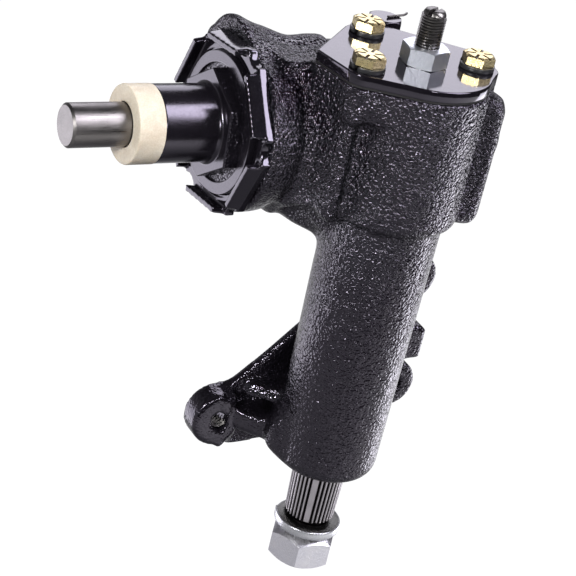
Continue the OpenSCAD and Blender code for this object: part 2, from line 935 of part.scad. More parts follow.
module sector_bush(z) {
    color(bronze)
        translate([0, 0, z])
            ring(sector_bore_r, sector_d / 2 + run_gap, bush_len);
}

module upper_sector_bush() {
    sector_bush(tooth_z0 - bush_len - bush_space);
}

module lower_sector_bush() {
    sector_bush(seal_z + seal_len + bush_space);
}

module sector_seal() {
    color(rubber)
        translate([0, 0, seal_z])
            ring(sector_bore_r, sector_d / 2 + run_gap, seal_len);
}

module worm_shaft() {
    shaft_r = shaft_d / 2;
    thread_r = ball_path_r - thread_gap;
    shoulder_r = bearing_path_r - shoulder_drop;
    shoulder_x = bearing_x - shoulder_back;
    relief_x = neck_x + bush_l + relief_out - relief_w;
    color(raw_steel)
        translate([0, axis_gap, worm_z])
            difference() {
                rotate([0, 90, 0])
                    rotate_extrude()
                        difference() {
                            polygon([[0, -shaft_reach], [shaft_r - shaft_bevel, -shaft_reach],
                                     [shaft_r, -shaft_reach + shaft_bevel],
                                     [shaft_r, -relief_x - relief_w], [shaft_r - relief_depth, -relief_x - relief_w],
                                     [shaft_r - relief_depth, -relief_x], [shaft_r, -relief_x],
                                     [shaft_r, -shoulder_x], [shoulder_r, -shoulder_x], [shoulder_r, -worm_half],
                                     [thread_r, -worm_half], [thread_r, worm_half], [shoulder_r, worm_half],
                                     [shoulder_r, shoulder_x], [shaft_r, shoulder_x],
                                     [shaft_r, bearing_x + cup_depth - 2], [0, bearing_x + cup_depth - 2]]);
                            for (s = [-1, 1])
                                translate([bearing_path_r, s * bearing_x])
                                    circle(r = bearing_ball_r + race_gap);
                        }
                ball_groove(-worm_half + groove_r, worm_half - groove_r, groove_r);
            }
}

module ball_nut() {
    half = nut_l / 2;
    color(raw_steel)
        translate([0, axis_gap, worm_z])
            difference() {
                union() {
                    intersection() {
                        translate([-half, -nut_half_y, -nut_h / 2])
                            cube([nut_l, 2 * nut_half_y, nut_h]);
                        translate([-half - 1, 0, 0])
                            rotate([0, 90, 0])
                                cylinder(r = nut_half_y + nut_corner, h = nut_l + 2);
                    }
                    intersection() {
                        translate([0, 0, -tooth_w / 2])
                            linear_extrude(tooth_w)
                                mirror([0, 1, 0])
                                    rack_profile();
                        translate([-half, -axis_gap, -nut_h])
                            cube([nut_l, axis_gap, 2 * nut_h]);
                    }
                }
                translate([-half - 1, 0, 0])
                    rotate([0, 90, 0])
                        cylinder(r = ball_path_r + thread_gap, h = nut_l + 2);
                ball_groove(-nut_groove_turns * lead, nut_groove_turns * lead, groove_r);
                for (turn = [-3, -1, 1, 3])
                    translate([turn * lead, 0, 0])
                        rotate([-90, 0, 0])
                            cylinder(r = ball_r + guide_gap, h = nut_half_y + 1, $fn = 32);
                for (s = [-1, 1])
                    translate([0, nut_half_y - clamp_screw_l, s * clamp_screw_z])
                        rotate([-90, 0, 0])
                            cylinder(r = clamp_screw_r + run_gap, h = clamp_screw_l + 1, $fn = 32);
            }
}

module nut_balls() {
    color([0.75, 0.76, 0.78])
        translate([0, axis_gap, worm_z])
            for (start = [-3, 1])
                for (i = [0:20])
                    translate(helix_point((start + i / 10) * lead, 0, 0))
                        sphere(r = ball_r, $fn = 32);
}

// Bent tube that carries the balls from one end of a circuit to the other
module return_guide() {
    tube_r = ball_r + guide_wall;
    bend = guide_bend;
    leg = guide_leg;
    difference() {
        union() {
            for (x = [-lead, lead])
                translate([x, nut_half_y, 0])
                    rotate([-90, 0, 0])
                        cylinder(r = tube_r, h = leg, $fn = 48);
            for (s = [-1, 1])
                translate([s * (lead - bend), nut_half_y + leg, 0])
                    rotate([0, 0, s > 0 ? 0 : 90])
                        rotate_extrude(angle = 90)
                            translate([bend, 0])
                                circle(r = tube_r, $fn = 48);
            translate([-lead + bend, nut_half_y + leg + bend, 0])
                rotate([0, 90, 0])
                    cylinder(r = tube_r, h = 2 * (lead - bend), $fn = 48);
        }
        for (x = [-lead, lead])
            translate([x, nut_half_y - 1, 0])
                rotate([-90, 0, 0])
                    cylinder(r = ball_r + guide_gap, h = leg + 1, $fn = 48);
    }
}

module return_guides() {
    color(raw_steel)
        translate([0, axis_gap, worm_z])
            for (s = [-1, 1])
                translate([s * 2 * lead, 0, 0])
                    return_guide();
}

module guide_clamp() {
    guide_top = nut_half_y + guide_leg + guide_bend + ball_r + guide_wall;
    foot_half = lead - ball_r - guide_wall - 0.5;
    color(zinc)
        translate([0, axis_gap, worm_z])
            difference() {
                union() {
                    translate([-foot_half, nut_half_y, -clamp_foot_l / 2])
                        cube([2 * foot_half, clamp_foot_t, clamp_foot_l]);
                    translate([-foot_half, nut_half_y, -clamp_w / 2])
                        cube([2 * foot_half, guide_top - nut_half_y + clamp_strap_t, clamp_w]);
                    translate([-2.4 * lead, guide_top, -clamp_w / 2])
                        cube([4.8 * lead, clamp_strap_t, clamp_w]);
                }
                for (s = [-1, 1])
                    translate([0, nut_half_y - 1, s * clamp_screw_z])
                        rotate([-90, 0, 0])
                            cylinder(r = clamp_screw_r + 0.1, h = clamp_foot_t + 2, $fn = 32);
            }
}

module clamp_screws() {
    color(zinc)
        translate([0, axis_gap, worm_z])
            for (s = [-1, 1])
                translate([0, nut_half_y, s * clamp_screw_z])
                    rotate([-90, 0, 0]) {
                        translate([0, 0, 1 - clamp_screw_l])
                            cylinder(r = clamp_screw_r, h = clamp_screw_l + clamp_foot_t, $fn = 32);
                        translate([0, 0, clamp_foot_t])
                            cylinder(r = clamp_head_r, h = clamp_head_h, $fn = 32);
                    }
}

// Tapered spline with four wide teeth, one of them towards the steering shaft's side
module spline() {
    big_r = spline_d / 2;
    small_r = big_r - spline_l * spline_taper / 2;
    depth = 0.9;
    lean = atan(spline_taper / 2);
    difference() {
        translate([0, 0, spline_bottom])
            cylinder(r1 = small_r, r2 = big_r, h = spline_l);
        for (i = [0:spline_teeth - 1])
            if (i % 9 != 0)
                rotate([0, 0, camera_side_deg + 360 * i / spline_teeth])
                    translate([small_r - depth, 0, spline_bottom])
                        rotate([0, lean, 0])
                            rotate([0, 0, 45])
                                translate([0, -3, -1])
                                    cube([3, 3, spline_l + 2]);
    }
}

module sector_shaft() {
    slot_z = journal_top - slot_lip - head_h - shim_h - 2 * slot_gap;
    color(raw_steel)
        difference() {
            union() {
                translate([0, 0, tooth_z0])
                    linear_extrude(tooth_w)
                        intersection() {
                            union() {
                                circle(r = root_r);
                                for (a = [-1:1])
                                    rotate(90 + a * 360 / sector_circle_teeth)
                                        sector_tooth();
                            }
                            circle(r = tip_r);
                        }
                cylinder(r = sector_d / 2, h = tooth_z0 + 1);
                translate([0, 0, tooth_z0 + tooth_w - 1])
                    cylinder(r = journal_r, h = journal_top - tooth_z0 - tooth_w + 1);
                spline();
                translate([0, 0, thread_end_z])
                    rotate_extrude()
                        polygon([[0, 0], [pitman_thread_d / 2 - 1.5, 0], [pitman_thread_d / 2, 1.5],
                                 [pitman_thread_d / 2, spline_bottom - thread_end_z + 1],
                                 [0, spline_bottom - thread_end_z + 1]]);
            }
            translate([-head_r - slot_gap, -sector_d, slot_z])
                cube([2 * (head_r + slot_gap), 2 * sector_d, head_h + shim_h + 2 * slot_gap]);
            translate([-screw_d / 2 - slot_gap, -sector_d, slot_z])
                cube([screw_d + 2 * slot_gap, 2 * sector_d, journal_top - slot_z + 1]);
        }
}

// Split spring washer that rises to its free end
module pitman_lock_washer() {
    r_in = pitman_thread_d / 2 + 0.4;
    r_out = r_in + washer_w;
    steps = 40;
    span = 348;
    start = camera_side_deg - 100;
    points = [for (i = [0:steps])
        let (a = start - span * i / steps, z = nut_top_z + washer_rise * i / steps)
        each [[r_in * cos(a), r_in * sin(a), z], [r_out * cos(a), r_out * sin(a), z],
              [r_out * cos(a), r_out * sin(a), z + washer_t * 0.9], [r_in * cos(a), r_in * sin(a), z + washer_t]]];
    walls = [for (i = [0:steps - 1]) for (k = [0:3])
        let (a = 4 * i + k, b = 4 * i + (k + 1) % 4)
        each [[a, b + 4, b], [a, a + 4, b + 4]]];
    color(zinc)
        polyhedron(points, concat(walls, [[0, 1, 2, 3], [4 * steps + 3, 4 * steps + 2, 4 * steps + 1, 4 * steps]]));
}

module pitman_nut() {
    color(zinc)
        translate([0, 0, nut_low_z])
            rotate([0, 0, camera_side_deg])
                difference() {
                    hex_turned(pitman_nut_af, pitman_nut_h);
                    translate([0, 0, -1])
                        cylinder(r = pitman_thread_d / 2 + run_gap, h = pitman_nut_h + 2);
                }
}

housing();
sector_cover();
cover_gasket();
cover_bolts();
cover_lock_washers();
filler_plug();
adjusting_screw();
adjusting_screw_nut();
adjusting_screw_shim();
cover_bush();
worm_bearing_adjuster();
adjuster_lock_nut();
shaft_bush();
worm_shaft_seal();
upper_bearing_cup();
upper_bearing_balls();
upper_bearing_cage();
lower_bearing_cup();
lower_bearing_balls();
lower_bearing_cage();
upper_sector_bush();
lower_sector_bush();
sector_seal();
worm_shaft();
ball_nut();
nut_balls();
return_guides();
guide_clamp();
clamp_screws();
sector_shaft();
pitman_lock_washer();
pitman_nut();
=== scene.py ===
"""Looks of a recirculating-ball steering gearbox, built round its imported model."""

import math

import bmesh
import bpy
from bpy.props import FloatProperty, FloatVectorProperty, IntProperty, PointerProperty
from mathutils import Matrix, Vector


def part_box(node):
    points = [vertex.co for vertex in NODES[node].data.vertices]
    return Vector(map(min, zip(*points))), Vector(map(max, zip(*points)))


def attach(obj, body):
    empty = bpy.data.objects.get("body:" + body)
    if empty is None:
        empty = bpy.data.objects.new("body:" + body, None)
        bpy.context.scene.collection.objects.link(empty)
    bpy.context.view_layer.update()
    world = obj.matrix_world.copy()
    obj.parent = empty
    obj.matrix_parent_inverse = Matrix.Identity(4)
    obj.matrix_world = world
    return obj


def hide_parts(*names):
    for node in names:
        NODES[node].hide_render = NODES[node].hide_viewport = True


bl_info = {
    "name": "Steering Gearbox Looks",
    "version": (1, 0, 0),
    "blender": (4, 5, 0),
    "location": "View3D > Sidebar > Gearbox",
    "description": "Dresses the packed steering gearbox with its casting, paint, plating and threads",
    "category": "Object",
}

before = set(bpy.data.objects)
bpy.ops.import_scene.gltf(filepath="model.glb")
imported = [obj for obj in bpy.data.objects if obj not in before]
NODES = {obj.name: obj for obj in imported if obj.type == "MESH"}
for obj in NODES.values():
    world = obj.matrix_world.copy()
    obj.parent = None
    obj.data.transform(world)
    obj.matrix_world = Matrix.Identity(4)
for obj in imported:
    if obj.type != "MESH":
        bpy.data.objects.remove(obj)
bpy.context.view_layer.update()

MM = 0.001
# The worm's axis runs along X at this place. The sector shaft's axis is Z.
WORM_Y = 42 * MM
WORM_Z = 156.5 * MM
WORM_AXIS = Vector((WORM_Y, WORM_Z))
OUTWARD = Matrix.Translation((0, WORM_Y, WORM_Z)) @ Matrix.Rotation(math.radians(-90), 4, "Y")
# Machined faces of the casting, then the top of its mounting face, the foot of its hump, the floor of
# its sector chamber and half the length of its worm bore.
SEAT_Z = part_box("cover_gasket")[0].z
COVER_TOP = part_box("cover_lock_washers")[0].z
COLLAR_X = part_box("adjuster_lock_nut")[1].x
MOUNT_Y = 34 * MM
MOUNT_TOP = 100 * MM
HUMP_Z = 184 * MM
CHAMBER_Z = 138 * MM
BARREL_HALF = 50 * MM
# Places in X and Z of the ears' holes, and in X and Y of the cover's bolts and the plug.
EARS = ((-45.6 * MM, 12 * MM), (43 * MM, 82 * MM), (46.5 * MM, 22.5 * MM))
EAR_T = 12 * MM
EAR_HOLE_R = 4.7 * MM
COVER_BOLTS = ((-30.7 * MM, -5.3 * MM), (24.3 * MM, -5.3 * MM), (-9.7 * MM, 31.7 * MM))
PLUG = (8.5 * MM, 46.5 * MM)
# The groove beside the right bolt post.
POST_GROOVE = (27.4 * MM, -18.4 * MM)
GROOVE_Z = (134 * MM, 196 * MM)
# Crest of the spline at the sector shaft's height 0, and its taper on the diameter.
SPLINE_R = 12.7 * MM
SPLINE_TAPER = 0.0625
# A face whose normal is this close to upright counts as level and is shaded flat.
LEVEL = 0.99995
# How strongly the paint mirrors, the tint of what it mirrors and how much lighter its dusty spots are.
PAINT_IOR = 1.72
LAVENDER = (0.90, 0.83, 1.0, 1.0)
DUSTY = 1.8
# Tints of the softboxes.
LAMP_LAVENDER = (0.93, 0.91, 1.0)
LAMP_WHITE = (1.0, 1.0, 1.0)


class CastingSettings(bpy.types.PropertyGroup):
    """Sizes of the rough casting's surface"""
    voxel: FloatProperty(name="Skin cell", description="Size of the cells that make the casting's skin",
                         default=1.15 * MM, subtype="DISTANCE", unit="LENGTH")
    fillet_passes: IntProperty(name="Fillet passes", description="Rounds of smoothing for the cast fillets",
                               default=8, min=0)
    valley_passes: IntProperty(name="Valley passes", description="Further rounds beside the collar",
                               default=24, min=0)
    belly_passes: IntProperty(name="Belly passes", description="Further rounds under the barrel",
                              default=60, min=0)
    groove_passes: IntProperty(name="Groove passes", description="Further rounds along the post groove",
                               default=13, min=0)
    groove: FloatProperty(name="Post groove", description="Radius of the groove beside the right bolt post",
                          default=5.4 * MM, subtype="DISTANCE", unit="LENGTH")
    pebble: FloatProperty(name="Pebble size", description="Width of one pebble of the sand-cast skin",
                          default=1.30 * MM, subtype="DISTANCE", unit="LENGTH")
    pebble_height: FloatProperty(name="Pebble height", description="Height of the pebbles under the paint",
                                 default=1.15 * MM, subtype="DISTANCE", unit="LENGTH")
    thread_pitch: FloatProperty(name="Ear thread pitch", description="Pitch of the threads in the ears",
                                default=1.81 * MM, subtype="DISTANCE", unit="LENGTH")


class PaintSettings(bpy.types.PropertyGroup):
    """Colours of the paint, plating and moulded pieces"""
    black: FloatVectorProperty(name="Black paint", description="Colour of the gloss paint",
                               subtype="COLOR", size=3, default=(0.0040, 0.0034, 0.0048))
    yellow: FloatVectorProperty(name="Yellow zinc", description="Colour of the cover bolts",
                                subtype="COLOR", size=3, default=(0.80, 0.69, 0.40))
    zinc: FloatVectorProperty(name="Bright zinc", description="Colour of the plated nuts",
                              subtype="COLOR", size=3, default=(0.80, 0.83, 0.88))
    steel: FloatVectorProperty(name="Bare steel", description="Colour of the steel pieces inside",
                               subtype="COLOR", size=3, default=(0.36, 0.335, 0.32))
    cream: FloatVectorProperty(name="Cream bush", description="Colour of the shaft's bush",
                               subtype="COLOR", size=3, default=(0.60, 0.53, 0.42))


class FastenerSettings(bpy.types.PropertyGroup):
    """Sizes of the fasteners' detail"""
    screw_pitch: FloatProperty(name="Lash screw pitch", description="Pitch of the lash screw's thread",
                               default=1.25 * MM, subtype="DISTANCE", unit="LENGTH")
    edge: FloatProperty(name="Edge break", description="Width of the broken edges on machined pieces",
                        default=0.35 * MM, subtype="DISTANCE", unit="LENGTH")
    grade_line: FloatProperty(name="Grade line", description="Width of the lines on the bolt heads",
                              default=1.25 * MM, subtype="DISTANCE", unit="LENGTH")


class StageSettings(bpy.types.PropertyGroup):
    """Floor, lamps and camera"""
    floor_z: FloatProperty(name="Floor", description="Height of the floor", default=-1.1,
                           subtype="DISTANCE", unit="LENGTH")
    back_power: FloatProperty(name="Back softbox", description="Power of the softbox behind the part",
                              default=5.2, unit="POWER")
    key_power: FloatProperty(name="Key softbox", description="Power of the softbox above the part",
                             default=17.0, unit="POWER")
    fill_power: FloatProperty(name="Fill softbox", description="Power of the softbox on the left",
                              default=14.0, unit="POWER")
    front_power: FloatProperty(name="Front softbox", description="Power of the small softbox in front",
                               default=5.0, unit="POWER")
    low_power: FloatProperty(name="Low softbox", description="Power of the softbox low behind the collar",
                             default=4.5, unit="POWER")
    side_power: FloatProperty(name="Side softbox", description="Power of the softbox low on the right",
                              default=3.2, unit="POWER")
    lens: FloatProperty(name="Lens", description="Focal length of the camera in millimetres", default=118.75)


def ramp(length, low, high):
    """Goes smoothly from 0 to 1 while a length goes from low to high millimetres."""
    t = min(1.0, max(0.0, (length / MM - low) / (high - low)))
    return t * t * (3.0 - 2.0 * t)


def band(length, start, full, fade, end):
    """Rises from 0 to 1 between start and full millimetres and falls back between fade and end."""
    return ramp(length, start, full) * ramp(-length, -end, -fade)


def ridge(length, centre, width):
    """Gives a smooth rise to 1 at a centre, with centre and width in millimetres."""
    return math.exp(-((length / MM - centre) / width) ** 2)


def merged_copy(node):
    """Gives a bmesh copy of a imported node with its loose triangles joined."""
    bm = bmesh.new()
    bm.from_mesh(NODES[node].data)
    bmesh.ops.remove_doubles(bm, verts=bm.verts, dist=1e-6)
    return bm


def loose_object(bm, name):
    """Turns a bmesh into a linked object."""
    mesh = bpy.data.meshes.new(name)
    bm.to_mesh(mesh)
    bm.free()
    obj = bpy.data.objects.new(name, mesh)
    bpy.context.scene.collection.objects.link(obj)
    return obj


def finished(obj, *helpers):
    """Gives the bmesh that an object's modifiers make, and removes the object and its helpers."""
    graph = bpy.context.evaluated_depsgraph_get()
    graph.update()
    mesh = bpy.data.meshes.new_from_object(obj.evaluated_get(graph), depsgraph=graph)
    for used in (obj, *helpers):
        bpy.data.objects.remove(used)
    bm = bmesh.new()
    bm.from_mesh(mesh)
    bpy.data.meshes.remove(mesh)
    return bm


def carved(bm, tool, operation="DIFFERENCE"):
    """Takes one closed shell away from another, or keeps what the two share."""
    body = loose_object(bm, "carve_body")
    cutter = loose_object(tool, "carve_tool")
    cut = body.modifiers.new("Cut", "BOOLEAN")
    cut.operation = operation
    cut.solver = "EXACT"
    cut.object = cutter
    return finished(body, cutter)


def add_skin(obj, cell):
    """Gives an object a new skin of even cells."""
    skin = obj.modifiers.new("Skin", "REMESH")
    skin.mode = "VOXEL"
    skin.voxel_size = cell


def add_rounding(obj, passes, vertex_group=""):
    """Smooths an object, or only a vertex group of it."""
    smooth = obj.modifiers.new("Round", "SMOOTH")
    smooth.vertex_group = vertex_group
    smooth.factor = 0.5
    smooth.iterations = passes


def add_piece(bm, name, node, materials, body="casing", smooth_deg=32, flat_mm2=0):
    """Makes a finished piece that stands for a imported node."""
    obj = loose_object(bm, name)
    mesh = obj.data
    for material in materials:
        mesh.materials.append(material)
    mesh.shade_smooth()
    mesh.set_sharp_from_angle(angle=math.radians(smooth_deg))
    for face in mesh.polygons:
        if flat_mm2 and (face.area > flat_mm2 * MM * MM or abs(face.normal.z) > LEVEL):
            face.use_smooth = False
    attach(obj, body)
    if node:
        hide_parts(node)


def supported(points, closed, margin=0.5 * MM):
    """Adds points close to the ends of a profile's long stretches, so that their shading stays even."""
    result = []
    for start, stop in zip(points, points[1:] + points[:1] if closed else points[1:]):
        start, stop = Vector(start), Vector(stop)
        result.append(start)
        if (stop - start).length > 4 * margin:
            step = (stop - start).normalized() * margin
            result += [start + step, stop - step]
    return result if closed else result + [Vector(points[-1])]


def drawn(bm, points, closed):
    """Draws points of radius and height in the XZ plane and joins them in turn."""
    verts = [bm.verts.new((r, 0, z)) for r, z in points]
    following = verts[1:] + verts[:1] if closed else verts[1:]
    return verts, [bm.edges.new(pair) for pair in zip(verts, following)]


def turned(profile, steps, closed=False):
    """Spins a profile about Z: an open one from axis to axis into a shell, a closed one into a ring."""
    bm = bmesh.new()
    verts, edges = drawn(bm, supported(list(profile), closed), closed)
    bmesh.ops.spin(bm, geom=verts + edges, cent=(0, 0, 0), axis=(0, 0, 1), angle=math.tau, steps=steps,
                   use_merge=True)
    bmesh.ops.remove_doubles(bm, verts=bm.verts, dist=1e-7)
    bmesh.ops.recalc_face_normals(bm, faces=bm.faces)
    return bm


def swept_ring(section, turns, rise, steps_per_turn=36, start_deg=0.0):
    """Sweeps a closed section about Z while it climbs, and closes its ends."""
    bm = bmesh.new()
    verts, edges = drawn(bm, section, True)
    steps = max(3, round(abs(turns) * steps_per_turn))
    bmesh.ops.rotate(bm, verts=verts, matrix=Matrix.Rotation(math.radians(start_deg), 3, "Z"))
    made = bmesh.ops.spin(bm, geom=verts + edges, cent=(0, 0, 0), axis=(0, 0, 1), dvec=(0, 0, rise / steps),
                          angle=math.tau * turns, steps=steps, use_merge=False)
    last = [item for item in made["geom_last"] if isinstance(item, bmesh.types.BMEdge)]
    bmesh.ops.holes_fill(bm, edges=edges + last)
    bmesh.ops.recalc_face_normals(bm, faces=bm.faces)
    return bm


def outer_corner(r, z, width):
    """Gives the points of a broken corner on the outside of a turned end."""
    return [(r, z - width), (r - 0.3 * width, z - 0.3 * width), (r - width, z)]


def inner_corner(r, z, width):
    """Gives the points of a broken corner on the inside of a turned end."""
    return [(r + width, z), (r + 0.3 * width, z - 0.3 * width), (r, z - width)]


def rod(radius, length, segments, matrix=Matrix.Identity(4)):
    """Gives a cylinder or prism about Z, centred on its length."""
    bm = bmesh.new()
    bmesh.ops.create_cone(bm, cap_ends=True, segments=segments, radius1=radius, radius2=radius, depth=length,
                          matrix=matrix)
    return bm


def bar(sizes, matrix):
    """Gives a rectangular bar, centred."""
    bm = bmesh.new()
    bmesh.ops.create_cube(bm, size=1.0, matrix=matrix @ Matrix.Diagonal((*sizes, 1)))
    return bm


def placed(bm, matrix):
    """Moves a whole bmesh."""
    bmesh.ops.transform(bm, matrix=matrix, verts=bm.verts)
    return bm


def spun(degrees):
    """Gives a turn about Z."""
    return Matrix.Rotation(math.radians(degrees), 4, "Z")


def joined(parts):
    """Puts several bmeshes into one."""
    whole = bmesh.new()
    for part in parts:
        mesh = bpy.data.meshes.new("join")
        part.to_mesh(mesh)
        part.free()
        whole.from_mesh(mesh)
        bpy.data.meshes.remove(mesh)
    return whole


def sharp_edges(bm, angle_deg):
    """Gives the edges whose two faces meet at more than an angle."""
    return [e for e in bm.edges
            if len(e.link_faces) == 2 and e.calc_face_angle() > math.radians(angle_deg)]


def bevel(bm, edges, width, segments):
    """Rounds the edges that are given."""
    bmesh.ops.bevel(bm, geom=edges, offset=width, offset_type="OFFSET", segments=segments, profile=0.5,
                    affect="EDGES", clamp_overlap=True, material=-1)


def break_edges(bm, width, angle_deg=25, segments=2):
    """Rounds all the sharp edges of a bmesh."""
    bevel(bm, sharp_edges(bm, angle_deg), width, segments)
    return bm


def hex_blank(af, height, chamfer_low, chamfer_high, flat_share=0.485, slope_deg=30):
    """Gives a hexagonal blank about Z with its corners turned off at the ends that are asked for."""
    corner = af / 2 / math.cos(math.radians(30))
    blank = rod(corner, height, 6, Matrix.Translation((0, 0, height / 2)) @ spun(30))
    # The turning tool stands past both ends, so that no two faces lie in one plane.
    past = MM
    flat = af * flat_share
    out = corner + 2 * MM
    drop = (out - flat) * math.tan(math.radians(slope_deg))
    tip = flat - past / math.tan(math.radians(slope_deg))
    low = [(0, -past), (tip, -past), (out, drop)] if chamfer_low else [(0, -past), (out, -past)]
    high = [(out, height - drop), (tip, height + past)] if chamfer_high else [(out, height + past)]
    return carved(blank, turned(low + high + [(0, height + past)], 120), "INTERSECT")


def new_group(name, inputs, outputs):
    """Starts a shader node group with named sockets."""
    group = bpy.data.node_groups.new(name, "ShaderNodeTree")
    for label, kind, default in inputs:
        socket = group.interface.new_socket(name=label, in_out="INPUT", socket_type=kind)
        if default is not None:
            socket.default_value = default
    for label, kind in outputs:
        group.interface.new_socket(name=label, in_out="OUTPUT", socket_type=kind)
    return group, group.nodes.new("NodeGroupInput"), group.nodes.new("NodeGroupOutput")


def math_node(tree, operation, first, second=None, third=None):
    """Adds a Math node and links or sets its inputs."""
    node = tree.nodes.new("ShaderNodeMath")
    node.operation = operation
    for socket, value in zip(node.inputs, (first, second, third)):
        if value is None:
            continue
        if isinstance(value, bpy.types.NodeSocket):
            tree.links.new(value, socket)
        else:
            socket.default_value = value
    return node.outputs[0]


def noise_node(tree, vector, scale, detail=2.0, roughness=0.5, distortion=0.0):
    """Adds a Noise Texture on a vector."""
    node = tree.nodes.new("ShaderNodeTexNoise")
    tree.links.new(vector, node.inputs["Vector"])
    if isinstance(scale, bpy.types.NodeSocket):
        tree.links.new(scale, node.inputs["Scale"])
    else:
        node.inputs["Scale"].default_value = scale
    node.inputs["Detail"].default_value = detail
    node.inputs["Roughness"].default_value = roughness
    node.inputs["Distortion"].default_value = distortion
    return node.outputs["Fac"]


def ramp_value(tree, value, low, high, out_low, out_high):
    """Maps a value from one range to another, clamped."""
    node = tree.nodes.new("ShaderNodeMapRange")
    node.clamp = True
    tree.links.new(value, node.inputs["Value"])
    for label, number in (("From Min", low), ("From Max", high), ("To Min", out_low), ("To Max", out_high)):
        node.inputs[label].default_value = number
    return node.outputs["Result"]


def split_xyz(tree, vector):
    """Gives the X, Y and Z outputs of a vector."""
    node = tree.nodes.new("ShaderNodeSeparateXYZ")
    tree.links.new(vector, node.inputs[0])
    return node.outputs


def radius_node(tree, first, second):
    """Gives the distance that two values at right angles make."""
    square = math_node(tree, "MULTIPLY", first, first)
    return math_node(tree, "SQRT", math_node(tree, "MULTIPLY_ADD", second, second, square))


def make_cast_skin_group():
    """Pebbly skin of a sand casting: a height."""
    group, given, out = new_group(
        "cast_skin",
        [("Vector", "NodeSocketVector", None), ("Pebble Size", "NodeSocketFloat", 1.3 * MM)],
        [("Height", "NodeSocketFloat")])
    vector = given.outputs["Vector"]
    frequency = math_node(group, "DIVIDE", 1.0, given.outputs["Pebble Size"])
    cells = group.nodes.new("ShaderNodeTexVoronoi")
    cells.feature = "SMOOTH_F1"
    cells.inputs["Smoothness"].default_value = 0.6
    group.links.new(vector, cells.inputs["Vector"])
    group.links.new(frequency, cells.inputs["Scale"])
    lumps = noise_node(group, vector, frequency, detail=1.0, roughness=0.4, distortion=0.5)
    swell = noise_node(group, vector, math_node(group, "MULTIPLY", frequency, 0.28), detail=1.0)
    dome = math_node(group, "MULTIPLY", cells.outputs["Distance"], -0.55)
    height = math_node(group, "MULTIPLY_ADD", lumps, 0.9, dome)
    height = math_node(group, "MULTIPLY_ADD", swell, 0.8, height)
    group.links.new(height, out.inputs["Height"])
    return group


def make_handling_group():
    """Uneven gloss and faint marks that any handled surface has: a value to mix by and a gloss change."""
    group, given, out = new_group(
        "handling",
        [("Vector", "NodeSocketVector", None), ("Scale", "NodeSocketFloat", 60.0)],
        [("Blotch", "NodeSocketFloat"), ("Speck", "NodeSocketFloat")])
    vector = given.outputs["Vector"]
    blotch = noise_node(group, vector, given.outputs["Scale"], detail=4.0, roughness=0.6, distortion=0.3)
    fine = noise_node(group, vector, math_node(group, "MULTIPLY", given.outputs["Scale"], 14.0), detail=2.0)
    group.links.new(ramp_value(group, blotch, 0.3, 0.7, 0.0, 1.0), out.inputs["Blotch"])
    group.links.new(ramp_value(group, fine, 0.35, 0.72, 0.0, 1.0), out.inputs["Speck"])
    return group


def make_turned_group():
    """Fine lines left by a lathe, across the stretch direction: a height."""
    group, given, out = new_group(
        "turned_lines",
        [("Vector", "NodeSocketVector", None), ("Stretch", "NodeSocketVector", (1.0, 1.0, 1.0))],
        [("Height", "NodeSocketFloat")])
    scaled = group.nodes.new("ShaderNodeVectorMath")
    scaled.operation = "MULTIPLY"
    group.links.new(given.outputs["Vector"], scaled.inputs[0])
    group.links.new(given.outputs["Stretch"], scaled.inputs[1])
    lines = noise_node(group, scaled.outputs["Vector"], 1.0, detail=3.0, roughness=0.65)
    group.links.new(lines, out.inputs["Height"])
    return group


class Finish:
    """A material in the making: its tree, its shader and the object coordinates."""

    def __init__(self, name):
        self.material = bpy.data.materials.new(name)
        self.material.use_nodes = True
        self.tree = self.material.node_tree
        self.shader = self.tree.nodes["Principled BSDF"]
        self.coords = self.tree.nodes.new("ShaderNodeTexCoord").outputs["Object"]

    def feed(self, label, socket):
        """Links a socket to one of the shader's inputs."""
        self.tree.links.new(socket, self.shader.inputs[label])

    def set(self, **values):
        """Sets plain values on the shader's inputs."""
        for label, value in values.items():
            self.shader.inputs[label.replace("_", " ")].default_value = value

    def place(self, group, **values):
        """Places a shared group on the object coordinates and gives its outputs."""
        node = self.tree.nodes.new("ShaderNodeGroup")
        node.node_tree = group
        self.tree.links.new(self.coords, node.inputs["Vector"])
        for label, value in values.items():
            node.inputs[label.replace("_", " ")].default_value = value
        return node.outputs

    def axis_radius(self):
        """Gives the distance from the sector shaft's axis."""
        at = split_xyz(self.tree, self.coords)
        return radius_node(self.tree, at["X"], at["Y"])

    def mix(self, factor, first, second):
        """Mixes two colours by a factor."""
        node = self.tree.nodes.new("ShaderNodeMix")
        node.data_type = "RGBA"
        self.tree.links.new(factor, node.inputs["Factor"])
        for label, colour in (("A", first), ("B", second)):
            socket = next(s for s in node.inputs if s.name == label and s.type == "RGBA")
            if isinstance(colour, bpy.types.NodeSocket):
                self.tree.links.new(colour, socket)
            else:
                socket.default_value = (*colour, 1.0)
        return next(s for s in node.outputs if s.type == "RGBA")

    def lay_over(self, mask, colour):
        """Lays a colour over the base colour where a mask says."""
        under = self.shader.inputs["Base Color"].links[0].from_socket
        self.feed("Base Color", self.mix(mask, under, colour))

    def bump(self, height, distance):
        """Feeds a height to the shader's normal."""
        node = self.tree.nodes.new("ShaderNodeBump")
        node.inputs["Distance"].default_value = distance
        node.inputs["Strength"].default_value = 1.0
        self.tree.links.new(height, node.inputs["Height"])
        self.feed("Normal", node.outputs["Normal"])


def shaded(colour, share):
    """Gives a lighter or darker version of a colour."""
    return tuple(share * c for c in colour)


